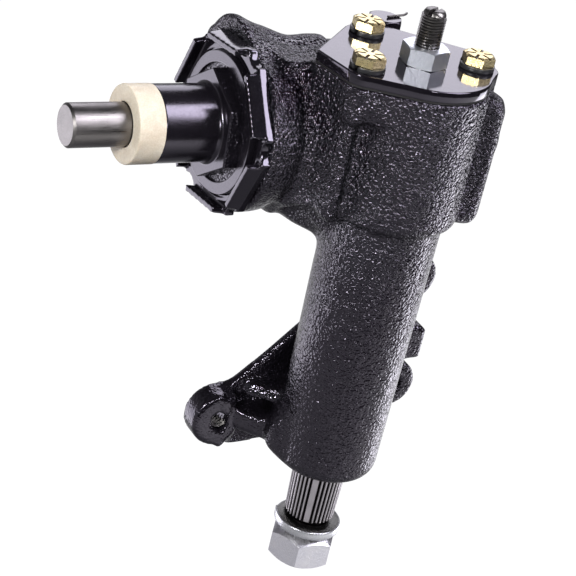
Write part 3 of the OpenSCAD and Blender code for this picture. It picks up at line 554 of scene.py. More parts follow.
class Palette:
    """Finishes of the gearbox, each made once."""

    def __init__(self, context):
        self.casting = context.scene.gearbox_casting
        self.paint = context.scene.gearbox_paint
        self.skin = make_cast_skin_group()
        self.handling = make_handling_group()
        self.lines = make_turned_group()
        even = (120.0, 120.0, 120.0)
        along_x = (90.0, 2600.0, 2600.0)
        self.made = {
            "cast_black": self.cast_black(),
            "smooth_black": self.smooth_black(),
            "adjuster_black": self.adjuster_black(),
            "black_oxide": self.plain_coat("black_oxide", (0.012, 0.012, 0.013), 0.34, 0.02 * MM),
            "gasket": self.plain_coat("gasket", (0.006, 0.0055, 0.006), 0.6, 0.05 * MM),
            "seal_rubber": self.plain_coat("seal_rubber", (0.02, 0.02, 0.02), 0.55, 0.05 * MM),
            "grade_mark": self.plain_coat("grade_mark", (0.035, 0.022, 0.008), 0.5, 0.05 * MM),
            "cream_nylon": self.cream_nylon(),
            "yellow_zinc": self.plated("yellow_zinc", self.paint.yellow, (0.70, 0.55, 0.25), 0.30),
            "bright_zinc": self.plated("bright_zinc", self.paint.zinc, (0.68, 0.71, 0.77), 0.36),
            # The pitman nut's zinc is a lighter copy of the bright zinc: painted light, standing in for the
            # brighter reflections the nut shows.
            "pitman_zinc": self.plated("pitman_zinc", (0.95, 0.93, 0.99), (0.88, 0.87, 0.95), 0.32),
            "spring_zinc": self.spring_zinc(),
            "splined_steel": self.splined_steel(even),
            "raw_steel": self.bare_metal("raw_steel", self.paint.steel, 0.33, even),
            "turned_steel": self.bare_metal("turned_steel", (0.25, 0.235, 0.23), 0.34, along_x),
            "dark_steel": self.bare_metal("dark_steel", (0.21, 0.20, 0.195), 0.30, (160.0, 160.0, 160.0)),
            "bronze": self.bare_metal("bronze", (0.55, 0.33, 0.14), 0.36, (200.0, 200.0, 200.0)),
        }

    def __getitem__(self, name):
        return self.made[name].material

    def marked(self, name, scale, colours, gloss, colour_by="Blotch", gloss_by="Speck"):
        """Starts a finish whose colour and gloss drift with its handling marks."""
        finish = Finish(name)
        marks = finish.place(self.handling, Scale=scale)
        finish.feed("Base Color", finish.mix(marks[colour_by], *colours))
        finish.feed("Roughness", ramp_value(finish.tree, marks[gloss_by], 0.0, 1.0, *gloss))
        return finish

    def black_paint(self, name, scale, gloss, **marks):
        """Starts a gloss black paint."""
        black = tuple(self.paint.black)
        finish = self.marked(name, scale, (black, shaded(black, DUSTY)), gloss, **marks)
        finish.set(IOR=PAINT_IOR, Specular_Tint=LAVENDER)
        return finish

    def cast_black(self):
        """Paint over a sand-cast skin, which is finer low on the tube and finest on the left ear."""
        finish = self.black_paint("cast_black", 45.0, (0.09, 0.16), colour_by="Speck", gloss_by="Blotch")
        tree = finish.tree
        at = split_xyz(tree, finish.coords)
        coarse = ramp_value(tree, at["Z"], 60 * MM, 135 * MM, 0.5, 1.0)
        ear = math_node(tree, "MULTIPLY", ramp_value(tree, at["X"], -36 * MM, -28 * MM, 0.65, 0.0),
                        ramp_value(tree, at["Z"], 50 * MM, 70 * MM, 1.0, 0.0))
        coarse = math_node(tree, "MULTIPLY", coarse, math_node(tree, "SUBTRACT", 1.0, ear))
        skin = finish.place(self.skin, Pebble_Size=self.casting.pebble)
        finish.bump(math_node(tree, "MULTIPLY", skin["Height"], coarse), self.casting.pebble_height)
        return finish

    def smooth_black(self):
        """Paint over machined steel, with a faint orange peel."""
        finish = self.black_paint("smooth_black", 70.0, (0.07, 0.13))
        finish.bump(noise_node(finish.tree, finish.coords, 420.0, detail=2.0), 0.02 * MM)
        return finish

    def adjuster_black(self):
        """Paint that is smooth where the adjuster was turned and rough in its cast recess."""
        finish = self.black_paint("adjuster_black", 70.0, (0.17, 0.25))
        tree = finish.tree
        at = split_xyz(tree, finish.coords)
        radius = radius_node(tree, math_node(tree, "SUBTRACT", at["Y"], WORM_Y),
                             math_node(tree, "SUBTRACT", at["Z"], WORM_Z))
        past_hexagon = ramp_value(tree, radius, 19.9 * MM, 20.6 * MM, 0.0, 1.0)
        inside_rim = ramp_value(tree, radius, 25.5 * MM, 25.9 * MM, 1.0, 0.0)
        behind_neck = ramp_value(tree, at["X"], -73.8 * MM, -73.0 * MM, 0.0, 1.0)
        recess = math_node(tree, "MULTIPLY", past_hexagon, inside_rim)
        recess = math_node(tree, "MULTIPLY", recess, behind_neck)
        skin = finish.place(self.skin, Pebble_Size=1.5 * MM)
        finish.bump(math_node(tree, "MULTIPLY", skin["Height"], recess), 0.7 * MM)
        return finish

    def plain_coat(self, name, colour, roughness, depth):
        """Dull coat with a fine grain."""
        gloss = (roughness - 0.06, roughness + 0.08)
        finish = self.marked(name, 90.0, (colour, shaded(colour, 1.7)), gloss)
        finish.bump(noise_node(finish.tree, finish.coords, 900.0, detail=3.0), depth)
        return finish

    def cream_nylon(self):
        """Moulded cream bush with brown stains and a fibrous grain."""
        pale = (0.70, 0.64, 0.54)
        stain = (0.34, 0.26, 0.17)
        finish = Finish("cream_nylon")
        marks = finish.place(self.handling, Scale=110.0)
        finish.feed("Base Color", finish.mix(marks["Speck"], tuple(self.paint.cream), pale))
        finish.lay_over(math_node(finish.tree, "MULTIPLY", marks["Blotch"], 0.42), stain)
        finish.set(Roughness=0.62, Subsurface_Weight=0.15, Subsurface_Radius=(1.5 * MM, 1.0 * MM, 0.6 * MM))
        finish.bump(noise_node(finish.tree, finish.coords, 1500.0, detail=4.0, roughness=0.7), 0.12 * MM)
        return finish

    def plated(self, name, colour, second, roughness):
        """Zinc plate whose tint drifts over the surface."""
        gloss = (roughness - 0.05, roughness + 0.1)
        finish = self.marked(name, 150.0, (tuple(colour), second), gloss)
        finish.set(Metallic=1.0)
        finish.bump(noise_node(finish.tree, finish.coords, 900.0, detail=3.0), 0.09 * MM)
        return finish

    def spring_zinc(self):
        """Plated spring washer, bright on its rim and dark within 15.2 mm of its axis."""
        finish = self.plated("spring_zinc", (0.86, 0.86, 0.90), (0.74, 0.75, 0.80), 0.30)
        dark_inside = ramp_value(finish.tree, finish.axis_radius(), 15.2 * MM, 16.0 * MM, 1.0, 0.0)
        finish.lay_over(dark_inside, (0.10, 0.10, 0.095))
        return finish

    def splined_steel(self, stretch):
        """Ground steel that is near black in its spline grooves below the tube."""
        finish = self.bare_metal("splined_steel", (0.74, 0.70, 0.74), 0.36, stretch)
        tree = finish.tree
        height = split_xyz(tree, finish.coords)["Z"]
        crest = math_node(tree, "MULTIPLY_ADD", height, SPLINE_TAPER / 2, SPLINE_R)
        depth = math_node(tree, "SUBTRACT", crest, finish.axis_radius())
        below_tube = ramp_value(tree, height, 0.0, 1.0 * MM, 1.0, 0.0)
        groove = ramp_value(tree, depth, 0.12 * MM, 0.45 * MM, 0.0, 1.0)
        finish.lay_over(math_node(tree, "MULTIPLY", groove, below_tube), (0.018, 0.015, 0.017))
        return finish

    def bare_metal(self, name, colour, roughness, stretch):
        """Machined metal with tool lines and a faint film of oil."""
        finish = Finish(name)
        marks = finish.place(self.handling, Scale=80.0)
        tool = finish.place(self.lines, Stretch=stretch)["Height"]
        finish.feed("Base Color", finish.mix(marks["Blotch"], tuple(colour), shaded(colour, 0.72)))
        finish.set(Metallic=1.0)
        gloss = ramp_value(finish.tree, tool, 0.3, 0.7, roughness - 0.08, roughness + 0.12)
        finish.feed("Roughness", gloss)
        finish.bump(tool, 0.03 * MM)
        return finish


PALETTE = {}


def palette(context):
    """Gives the one set of finishes."""
    if "all" not in PALETTE:
        PALETTE["all"] = Palette(context)
    return PALETTE["all"]


def cast_weight(co):
    """Says how far a point may be rounded: 0 on machined faces and bores, 1 on the rough skin."""
    worm_r = (co.yz - WORM_AXIS).length
    sector_r = co.xy.length
    limits = [ramp(SEAT_Z - co.z, 0.8, 3.5), ramp(sector_r, 18, 20),
              ramp(co.x - COLLAR_X, 0.4, 8 if co.z > HUMP_Z else 2.5)]
    limits += [ramp(math.hypot(co.x - x, co.z - z), 5.4, 7.5) for x, z in EARS]
    if co.z < MOUNT_TOP:
        limits.append(ramp(MOUNT_Y - co.y, 0.4, 1.6))
    if co.z > CHAMBER_Z:
        limits.append(ramp(sector_r, 27, 29))
    if abs(co.x) < BARREL_HALF:
        limits.append(ramp(worm_r, 30.5, 32.5))
    elif co.x < 0:
        limits.append(ramp(worm_r, 32, 34))
    return min(limits)


def valley_weight(co):
    """Picks out the hollow between the collar, the deck and the sector chamber."""
    front = ramp(-co.y, -30, -22)
    return band(co.x, -58, -52, -44, -40) * front * ramp(SEAT_Z - co.z, 3, 9) * ramp(co.z, 105, 115)


def belly_weight(co):
    """Picks out the underside of the barrel where it runs down into the tube."""
    return band(co.x, -57, -52, -22, -16) * band(co.z, 100, 106, 132, 138) * ramp(co.y, -2, 4)


def groove_weight(co):
    """Picks out the groove beside the right bolt post."""
    near = (co.xy - Vector(POST_GROOVE)).length
    return ramp(-near, -13, -7) * ramp(SEAT_Z - co.z, 3, 8) * ramp(co.z, 128, 134)


def hump_settle(co):
    """Says how far the top of the hump leans back and sinks towards its tail."""
    lean, front_sink, tail_sink = 7 * MM, 1.5 * MM, 2 * MM
    high = ramp(co.z, 176, 190) * ramp(co.y, 14, 22)
    sink = front_sink * ramp(-co.x, 46, 58) + tail_sink * band(co.x, -60, -48, -42, -26)
    return high * Vector((0, lean * ramp(-co.x, 30, 50), -sink))


def web_sag(co):
    """Says how far the left web's lower edge hangs below the foot of the tube."""
    sag = 6 * MM
    low = ramp(-co.z, -8, 0)
    return Vector((0, 0, -sag * band(co.x, -44, -35, -16, -8) * low * ramp(co.y, 22, 27)))


def arm_fillet(co):
    """Says how far the left arm's root spreads over the foot of the tube."""
    spread = 6 * MM
    up = band(co.z, -1, 11, 16, 32)
    return Vector((-spread * band(co.x, -44, -30, -20, -10) * up * ramp(co.y, -6, 6), 0, 0))


def collar_bead(co):
    """Says how far the collar's rounded end stands up, and how far the hollow behind it sinks."""
    height, sink = 1.8 * MM, 1.3 * MM
    spoke = Vector((0, *(co.yz - WORM_AXIS)))
    front = ramp(WORM_Y - co.y, 8, 20) * ramp(SEAT_Z - co.z, 2, 8) * ramp(spoke.length, 33, 36)
    return spoke.normalized() * front * (height * ridge(co.x, -43.5, 2.4) - sink * ridge(co.x, -37, 3.0))


def post_hollow(co):
    """Says how deep the hollow between the left bolt post and the sector chamber is."""
    depth, bottom = 4.2 * MM, -30.5
    across = ridge(co.x, bottom, 3.0 if co.x < bottom * MM else 7.5)
    up = ramp(co.z, 126, 138) * ramp(SEAT_Z - co.z, 8, 22)
    return Vector((0, depth * across * up * ramp(-co.y, 4, 9), 0))


def post_swell(co):
    """Says how far the right bolt post stands out past the cover."""
    swell = Vector((3.0, -1.2, -1.5)) * MM
    aside = ramp(co.x, 25, 33) * ramp(-co.y, -24, -14)
    return swell * aside * ramp(co.z, 112, 124) * ramp(SEAT_Z - co.z, 2, 12)


CAST_FORMS = (hump_settle, web_sag, arm_fillet, collar_bead, post_hollow, post_swell)


class GEARBOX_OT_casting(bpy.types.Operator):
    """Makes the rough casting with its cast fillets, and the threads in its ears"""
    bl_idname = "gearbox.casting"
    bl_label = "Casting"

    def execute(self, context):
        settings = context.scene.gearbox_casting
        colours = palette(context)
        add_piece(self.casting(settings), "casting", "housing", [colours["cast_black"]],
                  smooth_deg=60)
        add_piece(self.threads(settings.thread_pitch), "ear_threads", None,
                  [colours["dark_steel"]])
        return {"FINISHED"}

    def casting(self, settings):
        """Gives the housing a cast skin, rounds it and adds the forms that its solid leaves out."""
        low, high = GROOVE_Z
        groove = bmesh.new()
        bmesh.ops.create_uvsphere(groove, u_segments=32, v_segments=32, radius=1.0,
                                  matrix=Matrix.Translation((*POST_GROOVE, (low + high) / 2))
                                  @ Matrix.Diagonal((settings.groove, settings.groove, (high - low) / 2, 1)))
        rough = loose_object(carved(merged_copy("housing"), groove), "casting_rough")
        add_skin(rough, settings.voxel)
        body = loose_object(finished(rough), "casting_skin")
        skin = [cast_weight(vert.co) for vert in body.data.vertices]
        for label, weigh, passes in (("skin", None, settings.fillet_passes),
                                     ("valley", valley_weight, settings.valley_passes),
                                     ("belly", belly_weight, settings.belly_passes),
                                     ("groove", groove_weight, settings.groove_passes)):
            group = body.vertex_groups.new(name=label)
            for vert in body.data.vertices:
                weight = skin[vert.index] * (weigh(vert.co) if weigh else 1.0)
                if weight > 0.0:
                    group.add([vert.index], weight, "REPLACE")
            add_rounding(body, passes, label)
        bm = finished(body)
        for vert in bm.verts:
            vert.co += sum((form(vert.co) for form in CAST_FORMS), Vector((0, 0, 0)))
        return bm

    def threads(self, pitch):
        """Winds a thread into each ear's hole."""
        root = EAR_HOLE_R + 0.1 * MM
        crest = EAR_HOLE_R - 0.62 * MM
        half, half_crest = pitch * 0.46, 0.12 * MM
        section = ((root, -half), (root, half), (crest, half_crest), (crest, -half_crest))
        turns = (EAR_T - 2 * pitch) / pitch
        upright = Matrix.Rotation(math.radians(90), 4, "X")
        return joined([placed(swept_ring(section, turns, turns * pitch),
                              Matrix.Translation((x, MOUNT_Y - pitch, z)) @ upright) for x, z in EARS])


class GEARBOX_OT_cover(bpy.types.Operator):
    """Makes the cover plate with a rounded rim and broken edges"""
    bl_idname = "gearbox.cover"
    bl_label = "Cover"

    def execute(self, context):
        colours = palette(context)
        sharp_deg, rim_radius, rim_segments = 28, 3.6 * MM, 5
        bm = merged_copy("sector_cover")
        bmesh.ops.dissolve_limit(bm, angle_limit=math.radians(0.6), verts=bm.verts, edges=bm.edges)
        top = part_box("sector_cover")[1].z
        rim = [e for e in sharp_edges(bm, sharp_deg) if all(self.on_rim(v.co, top) for v in e.verts)]
        bevel(bm, rim, rim_radius, rim_segments)
        break_edges(bm, context.scene.gearbox_fasteners.edge, sharp_deg)
        add_piece(bm, "cover_plate", "sector_cover", [colours["smooth_black"]], flat_mm2=300)
        return {"FINISHED"}

    def on_rim(self, co, top):
        """Says if a point is on the top face's rim, away from the boss and the bolts' holes."""
        level = abs(co.z - top) < 1e-6
        past_boss = co.xy.length > 20 * MM
        return level and past_boss and all((co.xy - Vector(bolt)).length > 5 * MM for bolt in COVER_BOLTS)


class GEARBOX_OT_cover_bolts(bpy.types.Operator):
    """Makes the three cover bolts with grade lines, and their split washers"""
    bl_idname = "gearbox.cover_bolts"
    bl_label = "Cover Bolts"
    head_z = COVER_TOP + 2.3 * MM
    shank_r = 3.92 * MM
    facing_deg = 12
    split_degs = (205, 150, 205)

    def execute(self, context):
        colours = palette(context)
        grade_line = context.scene.gearbox_fasteners.grade_line
        facing = spun(self.facing_deg)
        bolts = [placed(self.bolt(grade_line), Matrix.Translation((x, y, self.head_z)) @ facing)
                 for x, y in COVER_BOLTS]
        washers = [placed(self.washer(split_deg), Matrix.Translation((x, y, COVER_TOP)))
                   for (x, y), split_deg in zip(COVER_BOLTS, self.split_degs)]
        add_piece(joined(bolts), "bolt_set", "cover_bolts",
                  [colours["yellow_zinc"], colours["grade_mark"]], smooth_deg=28, flat_mm2=6)
        add_piece(joined(washers), "bolt_washers", "cover_lock_washers",
                  [colours["black_oxide"]])
        return {"FINISHED"}

    def bolt(self, grade_line):
        """Gives one bolt with its head's underside at height 0 and six lines cut into its top."""
        head_h = 4.3 * MM
        head = hex_blank(12.7 * MM, head_h, False, True, 0.44, 28)
        for k in range(6):
            line = bar((5.6 * MM, grade_line, 1.3 * MM),
                       spun(60 * k + 30) @ Matrix.Translation((4.6 * MM, 0, head_h)))
            for face in line.faces:
                face.material_index = 1
            head = carved(head, line)
        tip = SEAT_Z - self.head_z - 9 * MM
        point, lap = 0.6 * MM, 0.5 * MM
        shank = turned([(0, tip), (self.shank_r - point, tip), (self.shank_r, tip + point),
                        (self.shank_r, lap), (0, lap)], 48)
        return joined([head, shank])

    def washer(self, split_deg):
        """Gives one split washer."""
        r_in, r_out, thick = self.shank_r + 0.25 * MM, 7.65 * MM, 2.05 * MM
        section = ((r_in, 0), (r_out, 0), (r_out, thick), (r_in, thick))
        ring = swept_ring(section, 0.955, 0.25 * MM, steps_per_turn=64, start_deg=split_deg)
        return break_edges(ring, 0.3 * MM, 40)


class GEARBOX_OT_lash_screw(bpy.types.Operator):
    """Makes the slotted lash screw with its thread, and its lock nut"""
    bl_idname = "gearbox.lash_screw"
    bl_label = "Lash Screw"
    crest = 5.47 * MM
    root = 4.7 * MM

    def execute(self, context):
        colours = palette(context)
        screw = self.screw(context.scene.gearbox_fasteners.screw_pitch)
        add_piece(screw, "lash_screw", "adjusting_screw", [colours["dark_steel"]])
        add_piece(self.nut(), "lash_nut", "adjusting_screw_nut", [colours["bright_zinc"]],
                  flat_mm2=15)
        return {"FINISHED"}

    def screw(self, pitch):
        """Gives the screw: its T-slot head, a core with a slotted point and a thread wound round it."""
        low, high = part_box("adjusting_screw")
        root, top = self.root, high.z
        head_r = (high.x - low.x) / 2
        head_z = low.z + 4 * MM
        thread_end = top - 2.4 * MM
        core = turned([(0, low.z), (head_r, low.z), (head_r, head_z), (root, head_z), (root, thread_end),
                       (root + 0.25 * MM, thread_end + 0.3 * MM), (root + 0.1 * MM, top - 1.5 * MM),
                       (root - 0.5 * MM, top - 0.45 * MM), (root - 1.3 * MM, top), (0, top)], 72)
        slot = bar((14 * MM, 1.9 * MM, 4.6 * MM), spun(30) @ Matrix.Translation((0, 0, top)))
        thread_z = head_z + 3 * MM
        turns = (thread_end - thread_z) / pitch
        foot, half, half_crest = root - 0.15 * MM, 0.47 * pitch, 0.11 * pitch
        section = ((foot, -half), (self.crest, -half_crest), (self.crest, half_crest), (foot, half))
        thread = swept_ring(section, turns, turns * pitch, steps_per_turn=48)
        return joined([carved(core, slot), placed(thread, Matrix.Translation((0, 0, thread_z)))])

    def nut(self):
        """Gives the lock nut on the cover."""
        low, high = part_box("adjusting_screw_nut")
        blank = hex_blank(18.2 * MM, high.z - low.z, True, True, 0.495, 18)
        nut = break_edges(carved(blank, rod(self.crest + 0.05 * MM, 20 * MM, 64)), 0.3 * MM, 20)
        return placed(nut, Matrix.Translation((0, 0, COVER_TOP)) @ spun(18))


class GEARBOX_OT_bearing_adjuster(bpy.types.Operator):
    """Makes the bearing adjuster, its stamped lock nut and the cream bush"""
    bl_idname = "gearbox.bearing_adjuster"
    bl_label = "Bearing Adjuster"
    seal_r = 14 * MM

    def execute(self, context):
        colours = palette(context)
        edge = context.scene.gearbox_fasteners.edge
        add_piece(placed(self.cap(edge), OUTWARD), "adjuster_cap", "worm_bearing_adjuster",
                  [colours["adjuster_black"]], flat_mm2=40)
        add_piece(self.lock_nut(), "stamped_nut", "adjuster_lock_nut",
                  [colours["smooth_black"]], smooth_deg=80)
        add_piece(placed(self.bush(2.4 * edge), OUTWARD), "cream_bush", "shaft_bush",
                  [colours["cream_nylon"]])
        return {"FINISHED"}

    def cap(self, edge):
        """Gives the threaded cap with its recess, its hexagon and the flared neck."""
        low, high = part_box("worm_bearing_adjuster")
        inner, end = -high.x, -low.x
        rim, hexagon, pocket_end = 68.7 * MM, 74 * MM, 58 * MM
        floor = rim - 1.5 * MM
        r_out = (high.y - low.y) / 2
        r_rim = r_out - 5.25 * MM
        neck, bore, pocket = 17 * MM, 10.53 * MM, 20.05 * MM
        body = turned([(r_out, inner), *outer_corner(r_out, rim, edge), *inner_corner(r_rim, rim, edge),
                       (r_rim, floor + 0.7 * MM), (r_rim - 0.2 * MM, floor + 0.2 * MM),
                       (r_rim - 0.7 * MM, floor), (bore, floor), (bore, pocket_end), (pocket, pocket_end),
                       (pocket, inner)], 144, closed=True)
        lap = MM
        flats = hex_blank(43.3 * MM, hexagon - floor + lap, False, False)
        flats = break_edges(carved(flats, rod(bore, 1.0, 72)), 1.3 * edge, 40, 3)
        placed(flats, Matrix.Translation((0, 0, floor - lap)) @ spun(5))
        flare_r, flare_h = 1.4 * MM, 2.4 * MM
        flare = [(neck + flare_r * (1 - math.sin(a)), hexagon + flare_h * (1 - math.cos(a)))
                 for a in (math.radians(15 * k) for k in range(7))]
        seal_z = end - 11 * MM
        tube = turned([(neck + flare_r, hexagon - lap), *flare, *outer_corner(neck, end, edge),
                       (self.seal_r, end), (self.seal_r, seal_z), (bore, seal_z), (bore, hexagon - lap)],
                      144, closed=True)
        return joined([body, flats, tube])

    def lock_nut(self):
        """Gives the stamped nut a soft skin, and makes its outer flange taller and lean inwards."""
        rough = loose_object(merged_copy("adjuster_lock_nut"), "nut_rough")
        add_skin(rough, 0.5 * MM)
        add_rounding(rough, 4)
        nut = finished(rough)
        flange_x = COLLAR_X - 3.4 * MM
        taller, lean = 0.5, 0.2
        for vert in nut.verts:
            spoke = vert.co.yz - WORM_AXIS
            past = max(0.0, flange_x - vert.co.x) * ramp(spoke.length, 33, 34)
            vert.co.x -= taller * past
            vert.co.yz = WORM_AXIS + spoke * (1 - lean * past / spoke.length)
        return nut

    def bush(self, soft):
        """Gives the bush from inside the neck to its soft-edged end."""
        low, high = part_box("shaft_bush")
        step = -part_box("worm_bearing_adjuster")[0].x
        near, far = -high.x, -low.x
        r_out, r_shaft = (high.y - low.y) / 2, 9.6 * MM
        r_neck = self.seal_r - 0.05 * MM
        return turned([(r_out, step), *outer_corner(r_out, far, soft), *inner_corner(r_shaft, far, soft),
                       (r_shaft, near), (r_neck, near), (r_neck, step)], 128, closed=True)


class GEARBOX_OT_filler_plug(bpy.types.Operator):
    """Makes the filler plug and the bent wire on it"""
    bl_idname = "gearbox.filler_plug"
    bl_label = "Filler Plug"

    def execute(self, context):
        colours = palette(context)
        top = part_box("filler_plug")[1].z
        add_piece(self.plug(top, 0.8 * context.scene.gearbox_fasteners.edge), "plug", "filler_plug",
                  [colours["smooth_black"]], flat_mm2=15)
        wire_place = Matrix.Translation((PLUG[0] + 7.5 * MM, PLUG[1] + 6 * MM, top + 0.6 * MM))
        add_piece(placed(self.wire(), wire_place @ spun(12)), "plug_wire", None,
                  [colours["dark_steel"]])
        return {"FINISHED"}

    def plug(self, top, edge):
        """Gives the plug's hexagon and stem."""
        low_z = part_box("filler_plug")[0].z
        head_h, stem_r, lap = 8 * MM, 6.1 * MM, 0.5 * MM
        head_z = top - head_h
        head = break_edges(hex_blank(14.3 * MM, head_h, False, True), edge, 25, 2)
        stem = turned([(0, low_z), (stem_r, low_z), (stem_r, head_z + lap), (0, head_z + lap)], 64)
        return joined([placed(head, Matrix.Translation((*PLUG, head_z))),
                       placed(stem, Matrix.Translation((*PLUG, 0)))])

    def wire(self):
        """Gives the wire's bend and its straight end."""
        wire_r, bend_r, straight = 0.55 * MM, 6 * MM, 9 * MM
        angles = [math.tau * k / 12 for k in range(12)]
        section = [(bend_r + wire_r * math.cos(a), wire_r * math.sin(a)) for a in angles]
        bend = swept_ring(section, 0.12, 0.0, steps_per_turn=60, start_deg=-90)
        along_x = Matrix.Rotation(math.radians(90), 4, "Y")
        end = rod(wire_r, straight, 12, Matrix.Translation((-straight / 2, -bend_r, 0)) @ along_x)
        return joined([bend, end])


class GEARBOX_OT_pitman_fasteners(bpy.types.Operator):
    """Makes the pitman nut and its heavy spring washer"""
    bl_idname = "gearbox.pitman_fasteners"
    bl_label = "Pitman Fasteners"
    facing_deg = 233.5
    split_deg = 133.5

    def execute(self, context):
        colours = palette(context)
        edge = context.scene.gearbox_fasteners.edge
        add_piece(self.nut(1.6 * edge), "pitman_hex", "pitman_nut", [colours["pitman_zinc"]],
                  body="sector", flat_mm2=40)
        add_piece(self.washer(1.2 * edge), "pitman_spring", "pitman_lock_washer",
                  [colours["spring_zinc"]], body="sector")
        return {"FINISHED"}

    def nut(self, edge):
        """Gives the nut with deeply turned corners."""
        low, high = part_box("pitman_nut")
        blank = hex_blank(28.6 * MM, high.z - low.z, True, True, 0.43, 38)
        nut = break_edges(carved(blank, rod(9.6 * MM, 60 * MM, 72)), edge, 20, 3)
        return placed(nut, Matrix.Translation((0, 0, low.z)) @ spun(self.facing_deg))

    def washer(self, edge):
        """Gives the spring washer, which climbs from one end of its gap to the other."""
        low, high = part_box("pitman_lock_washer")
        rise, r_in, turn_deg = 3.2 * MM, 9.95 * MM, -348
        r_out = (high.x - low.x) / 2
        thick = high.z - low.z - rise
        section = ((r_in, 0), (r_out, 0), (r_out, 0.9 * thick), (r_in, thick))
        ring = swept_ring(section, turn_deg / 360, rise, steps_per_turn=96, start_deg=self.split_deg)
        return placed(break_edges(ring, edge, 40, 3), Matrix.Translation((0, 0, low.z)))


class GEARBOX_OT_packed_finishes(bpy.types.Operator):
    """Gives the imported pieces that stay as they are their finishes"""
    bl_idname = "gearbox.packed_finishes"
    bl_label = "Packed Finishes"

    finishes = {
        "gasket": ("cover_gasket",),
        "turned_steel": ("worm_shaft",),
        "splined_steel": ("sector_shaft",),
        "raw_steel": ("adjusting_screw_shim", "upper_bearing_cup", "upper_bearing_balls",
                      "lower_bearing_cup", "lower_bearing_balls", "ball_nut", "nut_balls", "return_guides"),
        "bronze": ("cover_bush", "upper_bearing_cage", "lower_bearing_cage", "upper_sector_bush",
                   "lower_sector_bush"),
        "seal_rubber": ("worm_shaft_seal", "sector_seal"),
        "bright_zinc": ("guide_clamp", "clamp_screws"),
    }

    def execute(self, context):
        colours = palette(context)
        for finish, names in self.finishes.items():
            for name in names:
                mesh = NODES[name].data
                mesh.materials.clear()
                mesh.materials.append(colours[finish])
        return {"FINISHED"}


def add_lamp(name, place, target, size, power, colour):
    """Hangs a rectangular softbox that faces a point."""
    lamp = bpy.data.lights.new(name, "AREA")
    lamp.shape = "RECTANGLE"
    lamp.size, lamp.size_y = size
    lamp.energy = power
    lamp.color = colour
    obj = bpy.data.objects.new(name, lamp)
    bpy.context.scene.collection.objects.link(obj)
    obj.location = place
    obj.rotation_euler = (target - place).to_track_quat("-Z", "Y").to_euler()
    obj.visible_camera = False


def glowing(name, tint):
    """Starts a material of plain light, and gives its tree, its light and the place it is seen at."""
    material = bpy.data.materials.new(name)
    material.use_nodes = True
    tree = material.node_tree
    tree.nodes.remove(tree.nodes["Principled BSDF"])
    glow = tree.nodes.new("ShaderNodeEmission")
    glow.inputs["Color"].default_value = tint
    at = split_xyz(tree, tree.nodes.new("ShaderNodeTexCoord").outputs["Object"])
    return material, tree, glow, at


def way_node(tree, at, x_share, y_share):
    """Gives how far a place lies along a level direction."""
    return math_node(tree, "MULTIPLY_ADD", at["X"], x_share, math_node(tree, "MULTIPLY", at["Y"], y_share))


